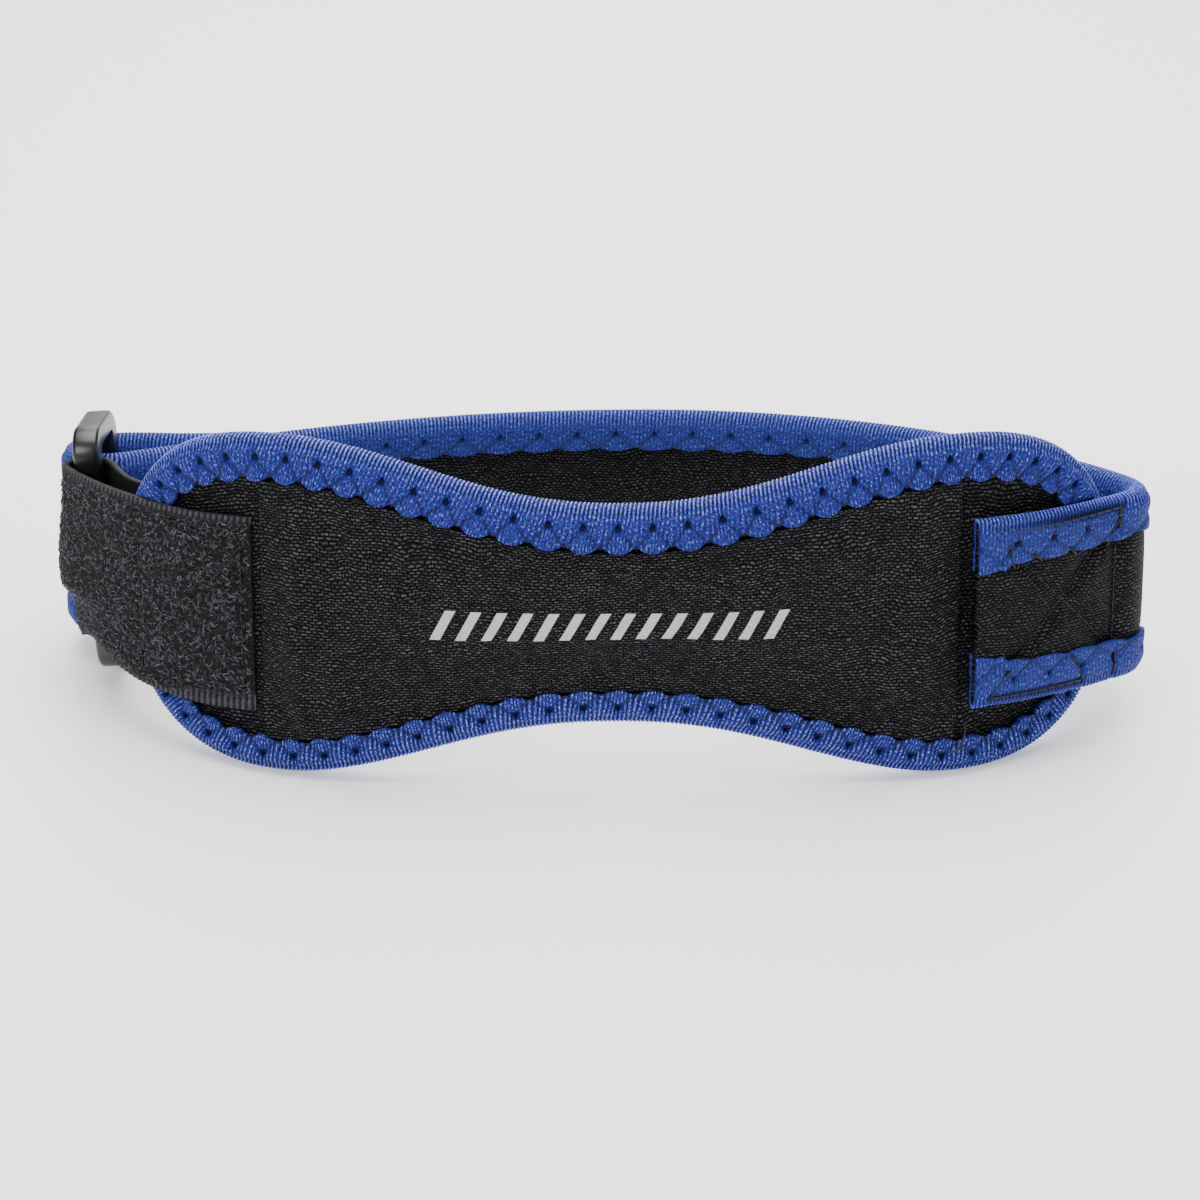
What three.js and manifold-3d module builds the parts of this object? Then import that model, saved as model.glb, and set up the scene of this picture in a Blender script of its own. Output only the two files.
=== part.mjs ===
// A patella strap: a padded panel for the front of the knee, closed into a loop by a band that
// runs round the back of the leg, through a plastic ring, and back on itself.
// Millimetres and degrees. X runs along the panel, Y towards the back of the leg, Z up.
import * as THREE from 'three';
import { mergeVertices } from 'three/addons/utils/BufferGeometryUtils.js';
import Module from 'manifold-3d';

const wasm = await Module();
wasm.setup();

const gap = 0.3;                  // clearance between neighbouring pieces

const tape = {                    // elastic tape folded over every edge
  thickness: 0.8,
  coverAbove: 7.4,                // how far each leg reaches in from the panel's upper edge
  coverBelow: 6,                  // and from its lower edge, which rolls under
  coverBand: 7.7,                 // and from the band's edges, at its sewn end
  coverBehind: 6.9,               // and on the rest of the band
};

const pad = {                     // neoprene panel in the shape of a bow
  halfLength: 102,                // middle to tip, along the panel
  lobeAt: 66.5,                    // where the panel is tallest
  lobeHeight: 67.2,
  waistHeight: 42.4,
  waistBreadth: 1.15,             // over 1 keeps the waist narrow for longer
  tipRoundness: 2.3,              // 2 is an ellipse, more is squarer
  thickness: 2.8,
  crown: 1.6,                     // swell of the front face under the cushion
  backCrown: 1.2,                 // swell towards the knee
  middleX: 0,
  middleY: -27,
  frontRadius: 430,               // plan radius of the middle stretch
  frontHalf: 55,                  // half the length of that stretch
  endRadius: 75,                  // plan radius of both ends
};

const cushion = {                 // filled panel on the front, between two upright seams
  halfLength: 68,
  centre: -1.5,                   // a little nearer the ring's end
  thickness: 4.2,
  edgeThickness: 1.2,
  endRamp: 9,                     // length over which each end comes down to its seam
  edgeGap: 0.4,                   // between the cushion and the edge tape
};

const band = {                    // the strap round the back of the leg
  sewnHeight: 39,                 // at its sewn end
  height: 38.6,                   // on the rest of it
  narrowsOver: 45,                // run over which it changes from one to the other
  coreThickness: 2.6,
  centre: 32.5,                   // height of its middle above the foot of the lobes
  fromCushion: 2.3,               // from the cushion's end to its own, along the panel
  tipRun: 1,                      // straight stretch past the tip of the panel
  bendRadius: 8.4,
  bendTurn: 82,
  backX: 6,                       // middle of the back
  backY: 52,
  bendHandle: 0.27,               // shares of the chord that steer the two back curves
  backHandle: 0.4,
  ringHandle: 0.3,
  ringApproach: 207,              // heading into the ring
  wrapTurn: 176,
  mergeAfter: 24,                 // the folded tail lies on the band from here
  tailLength: 34,                 // from the ring to the tail's end
};

const tether = {                  // fleece webbing that holds the ring
  height: 40,
  ringHeight: 38.2,               // gathered a little where it folds round the ring
  thickness: 1.5,
  centre: 31.4,                   // middle of its sewn end, a little lower than the ring
  ringCentre: 33.3,               // middle of its fold round the ring
  fromCushion: 1.9,               // from the cushion's end to its own, along the panel
  backEndAt: 86,
  tipRun: 1,
  reach: 17.3,                    // from the tip of the panel to the ring's bar
  turn: 16,                       // how much it bends back on the way
  handle: 0.35,
};

const ring = {                    // moulded rectangular loop
  bar: 5.3,                       // section of its bars
  barFlat: 0.42,                  // share of the section's half that stays flat
  endBar: 4.6,                    // height of its top and bottom bars
  cornerRadius: 3.1,              // along the middle of the bars
  heading: 86,                    // from the front bar to the rear bar
  roll: 4.4,                      // leans to the left at the top
  centre: 33.8,                   // height of its middle
  webbingClearance: 1.2,          // between the front bar and the webbing folded round it
  bandClearance: 2.3,             // between the rear bar and the band folded round it
  slotSpare: 0.8,                 // between the webbing and the band in the slot
  endClearance: 1.1,              // above and below the webbing
  leanWhole: 10,                  // the webbing leans with the ring as far as this from its middle
  leanGone: 25,                   // and stands upright past this
};

const sole = 0.45;                // how far the soft edges flatten where they stand

const steps = {                   // fineness of the model
  outline: 44,
  padRows: 6,
  cushionColumns: 26,
  cushionRows: 8,
  alongPad: 4.5,                  // spacing of stations on the panel
  bend: 8,
  back: 14,
  wrap: 10,
  tail: 6,
  corner: 4,
  roll: [-90, -48, 0, 48, 90],    // degrees round the fold of a tape, back to front
  slope: 0.5,                     // half the reach over which a slope is taken
};

const padMid = pad.lobeHeight / 2;
const bandEndAt = cushion.halfLength + cushion.centre + band.fromCushion;
const tetherEndAt = cushion.halfLength - cushion.centre + tether.fromCushion;
const tapedPad = pad.thickness + 2 * (gap + tape.thickness);
const tapedBand = band.coreThickness + 2 * (gap + tape.thickness);

// Small helpers for numbers and plan directions
const rad = THREE.MathUtils.degToRad;
const smooth = (t) => THREE.MathUtils.smoothstep(t, 0, 1);
const lerp = THREE.MathUtils.lerp;
const dir = (angle) => [Math.cos(angle), Math.sin(angle)];
const rightOf = (heading) => [Math.sin(heading), -Math.cos(heading)];

function moved(point, direction, distance) {
  return { ...point, x: point.x + direction[0] * distance, y: point.y + direction[1] * distance };
}

// The panel's middle line in plan: a shallow arc, then a tighter one, then straight past the tip
function padStation(s) {
  const along = Math.abs(s);
  const shallow = Math.min(along, pad.frontHalf);
  const tight = Math.min(Math.max(along - pad.frontHalf, 0), pad.halfLength - pad.frontHalf);
  const past = Math.max(along - pad.halfLength, 0);
  const turnA = shallow / pad.frontRadius;
  const turnB = turnA + tight / pad.endRadius;
  const x = pad.frontRadius * Math.sin(turnA) + pad.endRadius * (Math.sin(turnB) - Math.sin(turnA))
    + past * Math.cos(turnB);
  const y = pad.frontRadius * (1 - Math.cos(turnA)) + pad.endRadius * (Math.cos(turnA) - Math.cos(turnB))
    + past * Math.sin(turnB);
  const side = Math.sign(s) || 1;
  return { x: pad.middleX + side * x, y: pad.middleY + y, heading: side * turnB };
}

// A point of the panel: s along it, z up it, and offset towards the front
function padPoint(s, z, offset) {
  const station = padStation(s);
  const place = moved(station, rightOf(station.heading), offset);
  return new THREE.Vector3(place.x, place.y, z);
}

// Half the panel's height at s: a waist, two lobes and rounded tips
function padHalfHeight(s) {
  const along = Math.abs(s);
  if (along <= pad.lobeAt) {
    const rise = (1 - Math.cos(Math.PI * (along / pad.lobeAt) ** pad.waistBreadth)) / 2;
    return lerp(pad.waistHeight, pad.lobeHeight, rise) / 2;
  }
  const out = Math.min((along - pad.lobeAt) / (pad.halfLength - pad.lobeAt), 1);
  return (pad.lobeHeight / 2) * (1 - out ** pad.tipRoundness) ** (1 / pad.tipRoundness);
}

// How far the cushion has risen at s: 1 over most of its length, 0 past its seams
function cushionRise(s) {
  return 1 - smooth((Math.abs(s - cushion.centre) - cushion.halfLength + cushion.endRamp) / cushion.endRamp);
}

// Offsets of the panel's two faces from its middle surface
function padFaces(s, z) {
  const share = Math.min(Math.abs(z - padMid) / Math.max(padHalfHeight(s), 1), 1);
  const swell = cushionRise(s) * (1 - share * share);
  return {
    front: pad.thickness / 2 + pad.crown * swell,
    back: -pad.thickness / 2 - pad.backCrown * swell,
  };
}

// Places along the panel that are evenly spaced round its outline
function outlinePlaces(count) {
  const fine = 40 * count;
  const places = [];
  const lengths = [0];
  for (let i = 0; i <= fine; i++) {
    const s = -pad.halfLength * Math.cos((Math.PI * i) / fine);
    places.push({ s, half: padHalfHeight(s) });
    if (i > 0) {
      const a = places[i - 1];
      lengths.push(lengths[i - 1] + Math.hypot(s - a.s, places[i].half - a.half));
    }
  }
  const total = lengths[fine];
  const chosen = [];
  let next = 0;
  for (let i = 0; i <= count; i++) {
    while (next < fine && lengths[next] < (total * i) / count - 1e-9) next++;
    chosen.push(places[next]);
  }
  return chosen;
}

// Joins rings of points into one closed body. The ends are capped, unless the rings close on themselves
function loft(rings, closed = false) {
  const size = rings[0].length;
  const triangles = [];
  const add = (a, b, c) => {
    if (a.equals(b) || b.equals(c) || c.equals(a)) return;
    triangles.push(a, b, c);
  };
  const last = closed ? rings.length : rings.length - 1;
  for (let i = 0; i < last; i++) {
    const here = rings[i];
    const there = rings[(i + 1) % rings.length];
    for (let j = 0; j < size; j++) {
      const k = (j + 1) % size;
      add(here[j], there[j], there[k]);
      add(here[j], there[k], here[k]);
    }
  }
  if (!closed) {
    cap(rings[0]).forEach(([a, b, c]) => add(a, b, c));
    cap(rings[rings.length - 1]).forEach(([a, b, c]) => add(a, c, b));
  }
  const geometry = new THREE.BufferGeometry().setFromPoints(triangles);
  if (volumeOf(triangles) < 0) {
    for (let i = 0; i < triangles.length; i += 3) {
      [triangles[i + 1], triangles[i + 2]] = [triangles[i + 2], triangles[i + 1]];
    }
    geometry.setFromPoints(triangles);
  }
  geometry.computeVertexNormals();
  return geometry;
}

// Triangles that close a flat ring of points
function cap(ringPoints) {
  const spread = new THREE.Box3().setFromPoints(ringPoints).getSize(new THREE.Vector3());
  const across = spread.x > spread.y ? 'x' : 'y';
  const flat = ringPoints.map((p) => new THREE.Vector2(p[across], p.z));
  const faces = THREE.ShapeUtils.triangulateShape(flat, []);
  const area = THREE.ShapeUtils.area(flat);
  return faces.map(([a, b, c]) => {
    const sameWay = THREE.ShapeUtils.area([flat[a], flat[b], flat[c]]) * area > 0;
    const corners = sameWay ? [a, b, c] : [a, c, b];
    return corners.map((i) => ringPoints[i]);
  });
}

function volumeOf(triangles) {
  let sum = 0;
  const cross = new THREE.Vector3();
  for (let i = 0; i < triangles.length; i += 3) {
    sum += triangles[i].dot(cross.crossVectors(triangles[i + 1], triangles[i + 2])) / 6;
  }
  return sum;
}

// Section of a tape folded over an edge, as pairs of inwards and across.
// faces(inwards) gives the two faces of what it is folded over.
function tapeSection(faces, cover) {
  const atEdge = faces(0);
  const atLeg = faces(cover);
  const skin = gap + tape.thickness;
  const roll = (atEdge.front - atEdge.back) / 2 + skin;
  const middle = (atEdge.front + atEdge.back) / 2;
  const foot = roll - skin;
  const outer = steps.roll.map((angle) => [
    foot - roll * Math.cos(rad(angle)),
    middle + roll * Math.sin(rad(angle)),
  ]);
  return [
    [cover, atLeg.back - skin],
    ...outer,
    [cover, atLeg.front + skin],
    [cover, atLeg.front + gap],
    [-gap, atEdge.front + gap],
    [-gap, atEdge.back - gap],
    [cover, atLeg.back - gap],
  ];
}

// Shares from -1 to 1 in equal steps
function rowShares(rows) {
  return Array.from({ length: rows + 1 }, (_, j) => (2 * j) / rows - 1);
}

// The neoprene panel, as columns of points up its front and down its back
function padPanel() {
  const rings = outlinePlaces(steps.outline).map(({ s, half }) => {
    const rows = rowShares(steps.padRows).map((share) => padMid + half * share);
    const front = rows.map((z) => padPoint(s, z, padFaces(s, z).front));
    const back = rows.map((z) => padPoint(s, z, padFaces(s, z).back));
    return [...front, ...back.reverse()];
  });
  return loft(rings);
}

// How far the tape reaches in, from where the edge points: inZ is 1 at the foot and -1 at the top
function padCover(inZ) {
  return lerp(tape.coverAbove, tape.coverBelow, smooth((1 + inZ) / 2));
}

// The tape round the panel's whole outline
function padTape() {
  const top = outlinePlaces(steps.outline).map(({ s, half }) => ({ s, z: padMid + half }));
  const bottom = top.slice(1, -1).reverse().map(({ s, z }) => ({ s, z: 2 * padMid - z }));
  const outline = [...top, ...bottom];
  const count = outline.length;
  const rings = outline.map((place, i) => {
    const before = outline[(i + count - 1) % count];
    const after = outline[(i + 1) % count];
    const length = Math.hypot(after.s - before.s, after.z - before.z);
    const inS = (after.z - before.z) / length;
    const inZ = -(after.s - before.s) / length;
    const faces = (inwards) => padFaces(place.s + inS * inwards, place.z + inZ * inwards);
    const cover = padCover(inZ);
    return tapeSection(faces, cover).map(([inwards, across]) => padPoint(
      place.s + inS * inwards,
      place.z + inZ * inwards,
      across,
    ));
  });
  return loft(rings, true);
}

// The cushion on the panel's front
function frontCushion() {
  const rings = [];
  for (let i = 0; i <= steps.cushionColumns; i++) {
    const s = cushion.centre + lerp(-cushion.halfLength, cushion.halfLength, i / steps.cushionColumns);
    const slope = (padHalfHeight(s + steps.slope) - padHalfHeight(s - steps.slope)) / (2 * steps.slope);
    const along = Math.hypot(1, slope);
    const top = padHalfHeight(s) - (tape.coverAbove + cushion.edgeGap) * along;
    const foot = padHalfHeight(s) - (tape.coverBelow + cushion.edgeGap) * along;
    const shares = rowShares(steps.cushionRows).map((share) => Math.sin((share * Math.PI) / 2));
    const under = shares.map((share) => {
      const z = padMid + (share > 0 ? top : foot) * share;
      return padPoint(s, z, padFaces(s, z).front + gap);
    });
    const over = shares.map((share) => {
      const z = padMid + (share > 0 ? top : foot) * share;
      const swell = cushionRise(s) * (1 - share * share);
      const thickness = lerp(cushion.edgeThickness, cushion.thickness, swell);
      return padPoint(s, z, padFaces(s, z).front + gap + thickness);
    });
    rings.push([...over, ...under.reverse()]);
  }
  return loft(rings);
}

// Stations of a strip of fabric in plan, each with its place and heading
function alongPad(from, to, offset) {
  const count = Math.ceil(Math.abs(to - from) / steps.alongPad);
  const back = to < from;
  return Array.from({ length: count + 1 }, (_, i) => {
    const station = padStation(lerp(from, to, i / count));
    const place = moved(station, rightOf(station.heading), offset);
    return { ...place, heading: station.heading + (back ? Math.PI : 0) };
  });
}

function ahead(station, distance) {
  return moved(station, dir(station.heading), distance);
}

// Turns round a centre at a radius: a positive turn is to the left
function turning(station, radius, turn, count) {
  const side = Math.sign(turn);
  const centre = moved(station, rightOf(station.heading), -side * radius);
  return Array.from({ length: count }, (_, i) => {
    const heading = station.heading + (turn * (i + 1)) / count;
    return { ...moved(centre, rightOf(heading), side * radius), heading };
  });
}

// A smooth curve from one station to another, without its first station
function easing(from, to, startHandle, endHandle, count) {
  const chord = Math.hypot(to.x - from.x, to.y - from.y);
  const points = [from, ahead(from, startHandle * chord), ahead(to, -endHandle * chord), to];
  const curve = new THREE.CubicBezierCurve(...points.map((p) => new THREE.Vector2(p.x, p.y)));
  return Array.from({ length: count }, (_, i) => {
    const place = curve.getPointAt((i + 1) / count);
    const tangent = curve.getTangentAt((i + 1) / count);
    return { x: place.x, y: place.y, heading: Math.atan2(tangent.y, tangent.x) };
  });
}

// Where the ring's two bars stand. The front one continues from the panel's left tip
function ringPlaces() {
  const tip = padStation(-pad.halfLength);
  const reachHeading = tip.heading + Math.PI - rad(tether.turn);
  const front = { ...moved(tip, dir(reachHeading), tether.reach), heading: reachHeading };
  const fromFront = ring.bar / 2 + ring.webbingClearance + tether.thickness;
  const fromRear = ring.bar / 2 + ring.bandClearance + tapedBand;
  const spacing = fromFront + ring.slotSpare + fromRear;
  const rear = { ...moved(front, dir(rad(ring.heading)), spacing), heading: rad(ring.heading) };
  return { front, rear, spacing };
}

// The band's whole run: sewn end, bend, back of the leg, ring, folded tail
function bandStations() {
  const onPad = tapedPad / 2 + gap + tapedBand / 2;
  const { rear } = ringPlaces();
  const sewn = alongPad(bandEndAt, pad.halfLength + band.tipRun, onPad);
  const bend = turning(sewn.at(-1), band.bendRadius, rad(band.bendTurn), steps.bend);
  const back = { x: band.backX, y: band.backY, heading: Math.PI };
  const rightHalf = easing(bend.at(-1), back, band.bendHandle, band.backHandle, steps.back);
  const approach = rad(band.ringApproach);
  const wrapRadius = ring.bar / 2 + ring.bandClearance + tapedBand / 2;
  const wrapStart = { ...moved(rear, rightOf(approach), -wrapRadius), heading: approach };
  const leftHalf = easing(back, wrapStart, band.backHandle, band.ringHandle, steps.back);
  const wrap = turning(wrapStart, wrapRadius, -rad(band.wrapTurn), steps.wrap);
  const tail = foldedTail(wrap.at(-1), [...leftHalf].reverse(), wrapStart);
  return withRun([...sewn, ...bend, ...rightHalf, ...leftHalf, ...wrap, ...tail]);
}

// Adds to each station how far along the strip it is
function withRun(stations) {
  let run = 0;
  return stations.map((station, i) => {
    if (i > 0) run += Math.hypot(station.x - stations[i - 1].x, station.y - stations[i - 1].y);
    return { ...station, run };
  });
}

// Half the band's height, to the outside of its tapes
function bandHalf({ run }) {
  return lerp(band.sewnHeight, band.height, smooth(run / band.narrowsOver)) / 2;
}

// The tail leaves the ring, comes down onto the outside of the band and lies along it
function foldedTail(start, bandBack, from) {
  const apart = tapedBand + gap;
  const outside = bandBack.map((station) => ({
    ...moved(station, rightOf(station.heading), apart),
    heading: station.heading - Math.PI,
    run: Math.hypot(station.x - from.x, station.y - from.y),
  }));
  const lying = outside.filter(({ run }) => run > band.mergeAfter && run < band.tailLength);
  const first = stationAtRun(outside, band.mergeAfter);
  const last = stationAtRun(outside, band.tailLength);
  return [...easing(start, first, band.ringHandle, band.ringHandle, steps.tail), ...lying, last];
}

// The station at a given run, between its two neighbours
function stationAtRun(stations, run) {
  const i = Math.max(stations.findIndex((station) => station.run >= run), 1);
  const a = stations[i - 1];
  const b = stations[i];
  const share = (run - a.run) / (b.run - a.run);
  return {
    x: lerp(a.x, b.x, share),
    y: lerp(a.y, b.y, share),
    heading: lerp(a.heading, b.heading, share),
  };
}

// A point of the webbing at a height: near the ring it leans as the ring does
function leaning(place, z) {
  const { front, spacing } = ringPlaces();
  const middle = moved(front, dir(rad(ring.heading)), spacing / 2);
  const away = Math.hypot(place.x - middle.x, place.y - middle.y);
  const share = 1 - smooth((away - ring.leanWhole) / (ring.leanGone - ring.leanWhole));
  return new THREE.Vector3(place.x - share * Math.tan(rad(ring.roll)) * (z - ring.centre), place.y, z);
}

function bandCore() {
  const rings = bandStations().map((station) => {
    const half = { across: band.coreThickness / 2, up: bandHalf(station) - gap - tape.thickness };
    return stripRing(station, half, band.centre);
  });
  return loft(rings);
}

// Four corners of a strip at a station
function stripRing(station, half, centre) {
  return [[-1, -1], [1, -1], [1, 1], [-1, 1]].map(([across, up]) => {
    const place = moved(station, rightOf(station.heading), across * half.across);
    return new THREE.Vector3(place.x, place.y, centre + up * half.up);
  });
}

// Tape folded over the band's upper (side 1) or lower (side -1) edge
function bandTape(side) {
  const half = band.coreThickness / 2;
  const rings = bandStations().map((station) => {
    const edge = bandHalf(station) - gap - tape.thickness;
    const cover = lerp(tape.coverBand, tape.coverBehind, smooth(station.run / band.narrowsOver));
    return tapeSection(() => ({ front: half, back: -half }), cover).map(([inwards, across]) => {
      const place = moved(station, rightOf(station.heading), across);
      return new THREE.Vector3(place.x, place.y, band.centre + side * (edge - inwards));
    });
  });
  return loft(rings);
}

// The fleece webbing: sewn on the panel's front, round the ring's front bar, and behind the tip
function tetherStations() {
  const onPad = tapedPad / 2 + gap + tether.thickness / 2;
  const tipAt = pad.halfLength + tether.tipRun;
  const wrapRadius = ring.bar / 2 + ring.webbingClearance + tether.thickness / 2;
  const { front } = ringPlaces();
  const outwards = alongPad(-tetherEndAt, -tipAt, onPad);
  const homewards = alongPad(-tipAt, -tether.backEndAt, -onPad);
  const wrapStart = moved(front, rightOf(front.heading), -wrapRadius);
  const toRing = easing(outwards.at(-1), wrapStart, tether.handle, tether.handle, steps.corner);
  const wrap = turning(wrapStart, wrapRadius, -Math.PI, steps.wrap);
  const home = easing(wrap.at(-1), homewards[0], tether.handle, tether.handle, steps.corner);
  return [...outwards, ...toRing, ...wrap, ...home, ...homewards.slice(1)];
}

function fleeceTether() {
  const sewn = padStation(-tetherEndAt);
  const { front } = ringPlaces();
  const whole = Math.hypot(front.x - sewn.x, front.y - sewn.y);
  const rings = tetherStations().map((station) => {
    const share = smooth(Math.hypot(station.x - sewn.x, station.y - sewn.y) / whole);
    const half = { across: tether.thickness / 2, up: lerp(tether.height, tether.ringHeight, share) / 2 };
    const upright = stripRing(station, half, lerp(tether.centre, tether.ringCentre, share));
    return upright.map((point) => leaning(point, point.z));
  });
  return loft(rings);
}

// The ring: a rounded bar run round a rectangle with round corners
function ringLoop() {
  const { spacing } = ringPlaces();
  const halfWide = spacing / 2;
  const halfTall = tether.height / 2 + ring.endClearance + ring.endBar / 2;
  const corners = [[1, 1, 0], [-1, 1, 90], [-1, -1, 180], [1, -1, 270]];
  const stations = corners.flatMap(([sideW, sideZ, from]) => {
    return Array.from({ length: steps.corner + 1 }, (_, i) => {
      const angle = rad(from + (90 * i) / steps.corner);
      return {
        w: sideW * (halfWide - ring.cornerRadius) + ring.cornerRadius * Math.cos(angle),
        z: sideZ * (halfTall - ring.cornerRadius) + ring.cornerRadius * Math.sin(angle),
        angle,
      };
    });
  });
  const half = ring.bar / 2;
  const flat = half * ring.barFlat;
  const section = [
    [half, flat], [flat, half], [-flat, half], [-half, flat],
    [-half, -flat], [-flat, -half], [flat, -half], [half, -flat],
  ];
  const rings = stations.map(({ w, z, angle }) => {
    const upright = Math.abs(Math.cos(angle));
    const thin = lerp(ring.endBar / ring.bar, 1, upright);
    return section.map(([outwards, through]) => new THREE.Vector3(
      through,
      w + outwards * thin * Math.cos(angle),
      z + outwards * thin * Math.sin(angle),
    ));
  });
  return loft(rings, true);
}

function part(name, geometry, colour, roughness, metalness = 0) {
  const material = new THREE.MeshStandardMaterial({ color: colour, roughness, metalness });
  const mesh = new THREE.Mesh(geometry, material);
  mesh.name = name;
  return mesh;
}

// The angle that the whole strap leans back, and how high it stands, so that the feet of the two
// lobes and the bottom of the band's back reach the ground together
function standingLean() {
  const lobe = { y: padStation(pad.lobeAt).y, z: pad.thickness / 2, r: tapedPad / 2 };
  const rear = { y: band.backY, z: band.centre - band.height / 2 + tapedBand / 2, r: tapedBand / 2 };
  const run = Math.hypot(rear.y - lobe.y, rear.z - lobe.z);
  return Math.atan2(rear.z - lobe.z, rear.y - lobe.y) - Math.asin((rear.r - lobe.r) / run);
}

function asSolid(geometry) {
  const bare = geometry.clone();
  bare.deleteAttribute('normal');
  const merged = mergeVertices(bare, 1e-4);
  return new wasm.Manifold(new wasm.Mesh({
    numProp: 3,
    vertProperties: merged.attributes.position.array,
    triVerts: new Uint32Array(merged.index.array),
  }));
}

function asGeometry(solid) {
  const { vertProperties, triVerts } = solid.getMesh();
  const geometry = new THREE.BufferGeometry();
  geometry.setAttribute('position', new THREE.BufferAttribute(vertProperties, 3));
  geometry.setIndex(new THREE.BufferAttribute(triVerts, 1));
  geometry.computeVertexNormals();
  return geometry;
}

// Takes off what a soft edge presses flat against the ground
function flattenSole(mesh) {
  mesh.updateWorldMatrix(true, false);
  const size = 4 * pad.halfLength;
  const slab = new THREE.BoxGeometry(size, size, size).translate(0, 0, -size / 2);
  slab.deleteAttribute('uv');
  slab.applyMatrix4(mesh.matrixWorld.clone().invert());
  mesh.geometry = asGeometry(asSolid(mesh.geometry).subtract(asSolid(slab)));
}

function assemble() {
  const strap = new THREE.Group();
  const black = '#2b2b2f';
  const blue = '#3f57a8';
  const padTapeMesh = part('pad_edge_tape', padTape(), blue, 0.75);
  const lowerTape = part('band_lower_tape', bandTape(-1), blue, 0.75);
  strap.add(
    part('pad_panel', padPanel(), black, 0.9),
    padTapeMesh,
    part('front_cushion', frontCushion(), black, 0.85),
    part('band_core', bandCore(), black, 0.9),
    part('band_upper_tape', bandTape(1), blue, 0.75),
    lowerTape,
    part('fleece_tether', fleeceTether(), '#333438', 0.95),
  );

  const { front, spacing } = ringPlaces();
  const ringMesh = part('ring_buckle', ringLoop(), '#2a2a2c', 0.35);
  const ringMiddle = moved(front, dir(rad(ring.heading)), spacing / 2);
  ringMesh.position.set(ringMiddle.x, ringMiddle.y, ring.centre);
  ringMesh.rotation.set(0, -rad(ring.roll), rad(ring.heading - 90), 'ZYX');
  strap.add(ringMesh);

  strap.rotation.x = -standingLean();
  const model = new THREE.Group();
  model.add(strap);
  model.updateMatrixWorld(true);
  const box = new THREE.Box3().setFromObject(model, true);
  strap.position.z = -box.min.z - sole;
  flattenSole(padTapeMesh);
  flattenSole(lowerTape);

  const trimmed = new THREE.Box3().setFromObject(model, true);
  const middle = trimmed.getCenter(new THREE.Vector3());
  strap.position.x = -middle.x;
  strap.position.y = -middle.y;
  return model;
}

export default assemble();
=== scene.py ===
import math
import bpy
import numpy as np
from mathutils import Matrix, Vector


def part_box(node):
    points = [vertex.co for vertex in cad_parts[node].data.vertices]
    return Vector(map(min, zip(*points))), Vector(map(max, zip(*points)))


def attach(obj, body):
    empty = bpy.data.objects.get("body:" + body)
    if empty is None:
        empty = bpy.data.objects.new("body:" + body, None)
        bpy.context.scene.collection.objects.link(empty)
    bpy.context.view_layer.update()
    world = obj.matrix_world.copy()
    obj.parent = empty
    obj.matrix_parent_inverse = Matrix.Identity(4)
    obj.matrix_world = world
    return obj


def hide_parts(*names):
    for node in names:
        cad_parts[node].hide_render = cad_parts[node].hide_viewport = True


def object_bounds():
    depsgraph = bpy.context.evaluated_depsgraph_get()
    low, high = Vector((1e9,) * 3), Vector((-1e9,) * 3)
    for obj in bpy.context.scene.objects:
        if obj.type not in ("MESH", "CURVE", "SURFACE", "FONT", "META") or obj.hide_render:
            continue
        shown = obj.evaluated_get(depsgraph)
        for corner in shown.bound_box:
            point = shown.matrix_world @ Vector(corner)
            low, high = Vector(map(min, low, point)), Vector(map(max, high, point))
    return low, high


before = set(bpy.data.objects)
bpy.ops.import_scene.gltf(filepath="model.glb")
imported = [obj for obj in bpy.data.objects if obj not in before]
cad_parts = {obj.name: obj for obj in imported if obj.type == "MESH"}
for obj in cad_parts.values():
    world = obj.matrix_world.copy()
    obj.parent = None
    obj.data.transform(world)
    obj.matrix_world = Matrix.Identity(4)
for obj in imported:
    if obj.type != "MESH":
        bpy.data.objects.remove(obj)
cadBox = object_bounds()
scene = bpy.context.scene
mm = 0.001


# Small helpers that take whole arrays
def smooth(t):
    t = np.clip(t, 0, 1)
    return t * t * (3 - 2 * t)


def mix(a, b, t):
    return a + (b - a) * t


def bump(distance, width):
    return np.exp(-(distance / width) ** 2)


# Panel: a neoprene bow with a waist and two lobes, bent round the front of the leg (mm)
panel = {
    "halfLength": 102, "lobeAt": 66.5, "lobeHeight": 67.2, "waistHeight": 42.4,
    "waistBreadth": 1.15, "tipRoundness": 2.3, "thickness": 2.8, "crown": 1.6, "backCrown": 1.2,
    "middleY": -27, "frontRadius": 430, "frontHalf": 55, "endRadius": 75,
    "columns": 150, "rows": 33, "clothHalf": 25,
}
cushion = {
    "halfLength": 68, "centre": -1.5, "thickness": 4.2, "edgeThickness": 1.2, "endRamp": 9,
    "edgeGap": 0.4, "columns": 118, "rows": 44, "rowBend": 0.45, "bendFrom": 27,
    "pressure": 4, "cap": 1.4, "frames": 20, "slack": -0.02,
}
# What all the tapes share: their cover on each edge, what their stitching does to them, and the strength and
# width of a painted highlight along each fold's crown
tape = {
    "gap": 0.3, "thickness": 0.8, "ribPitch": 0.825, "coverAbove": 7.4, "coverBelow": 6,
    "coverBand": 7.7, "coverBehind": 6.9, "settleOver": 2, "seamInset": 0.3, "scallopMiddle": 0.6,
    "cornerFor": 5.5, "cornerRamp": 1.5, "foldHighlight": 0.5, "foldHighlightShare": 0.6,
    "legFrom": 0.75, "legRamp": 1.2, "creaseWidth": 0.55, "creaseBelow": 0.4,
    "valleyAt": 0.86, "valleyWidth": 0.5, "fanFrom": 0.8,
}
skin = tape["gap"] + tape["thickness"]
ribStep = tape["ribPitch"] / 3
panelMiddle = panel["lobeHeight"] / 2


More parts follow.
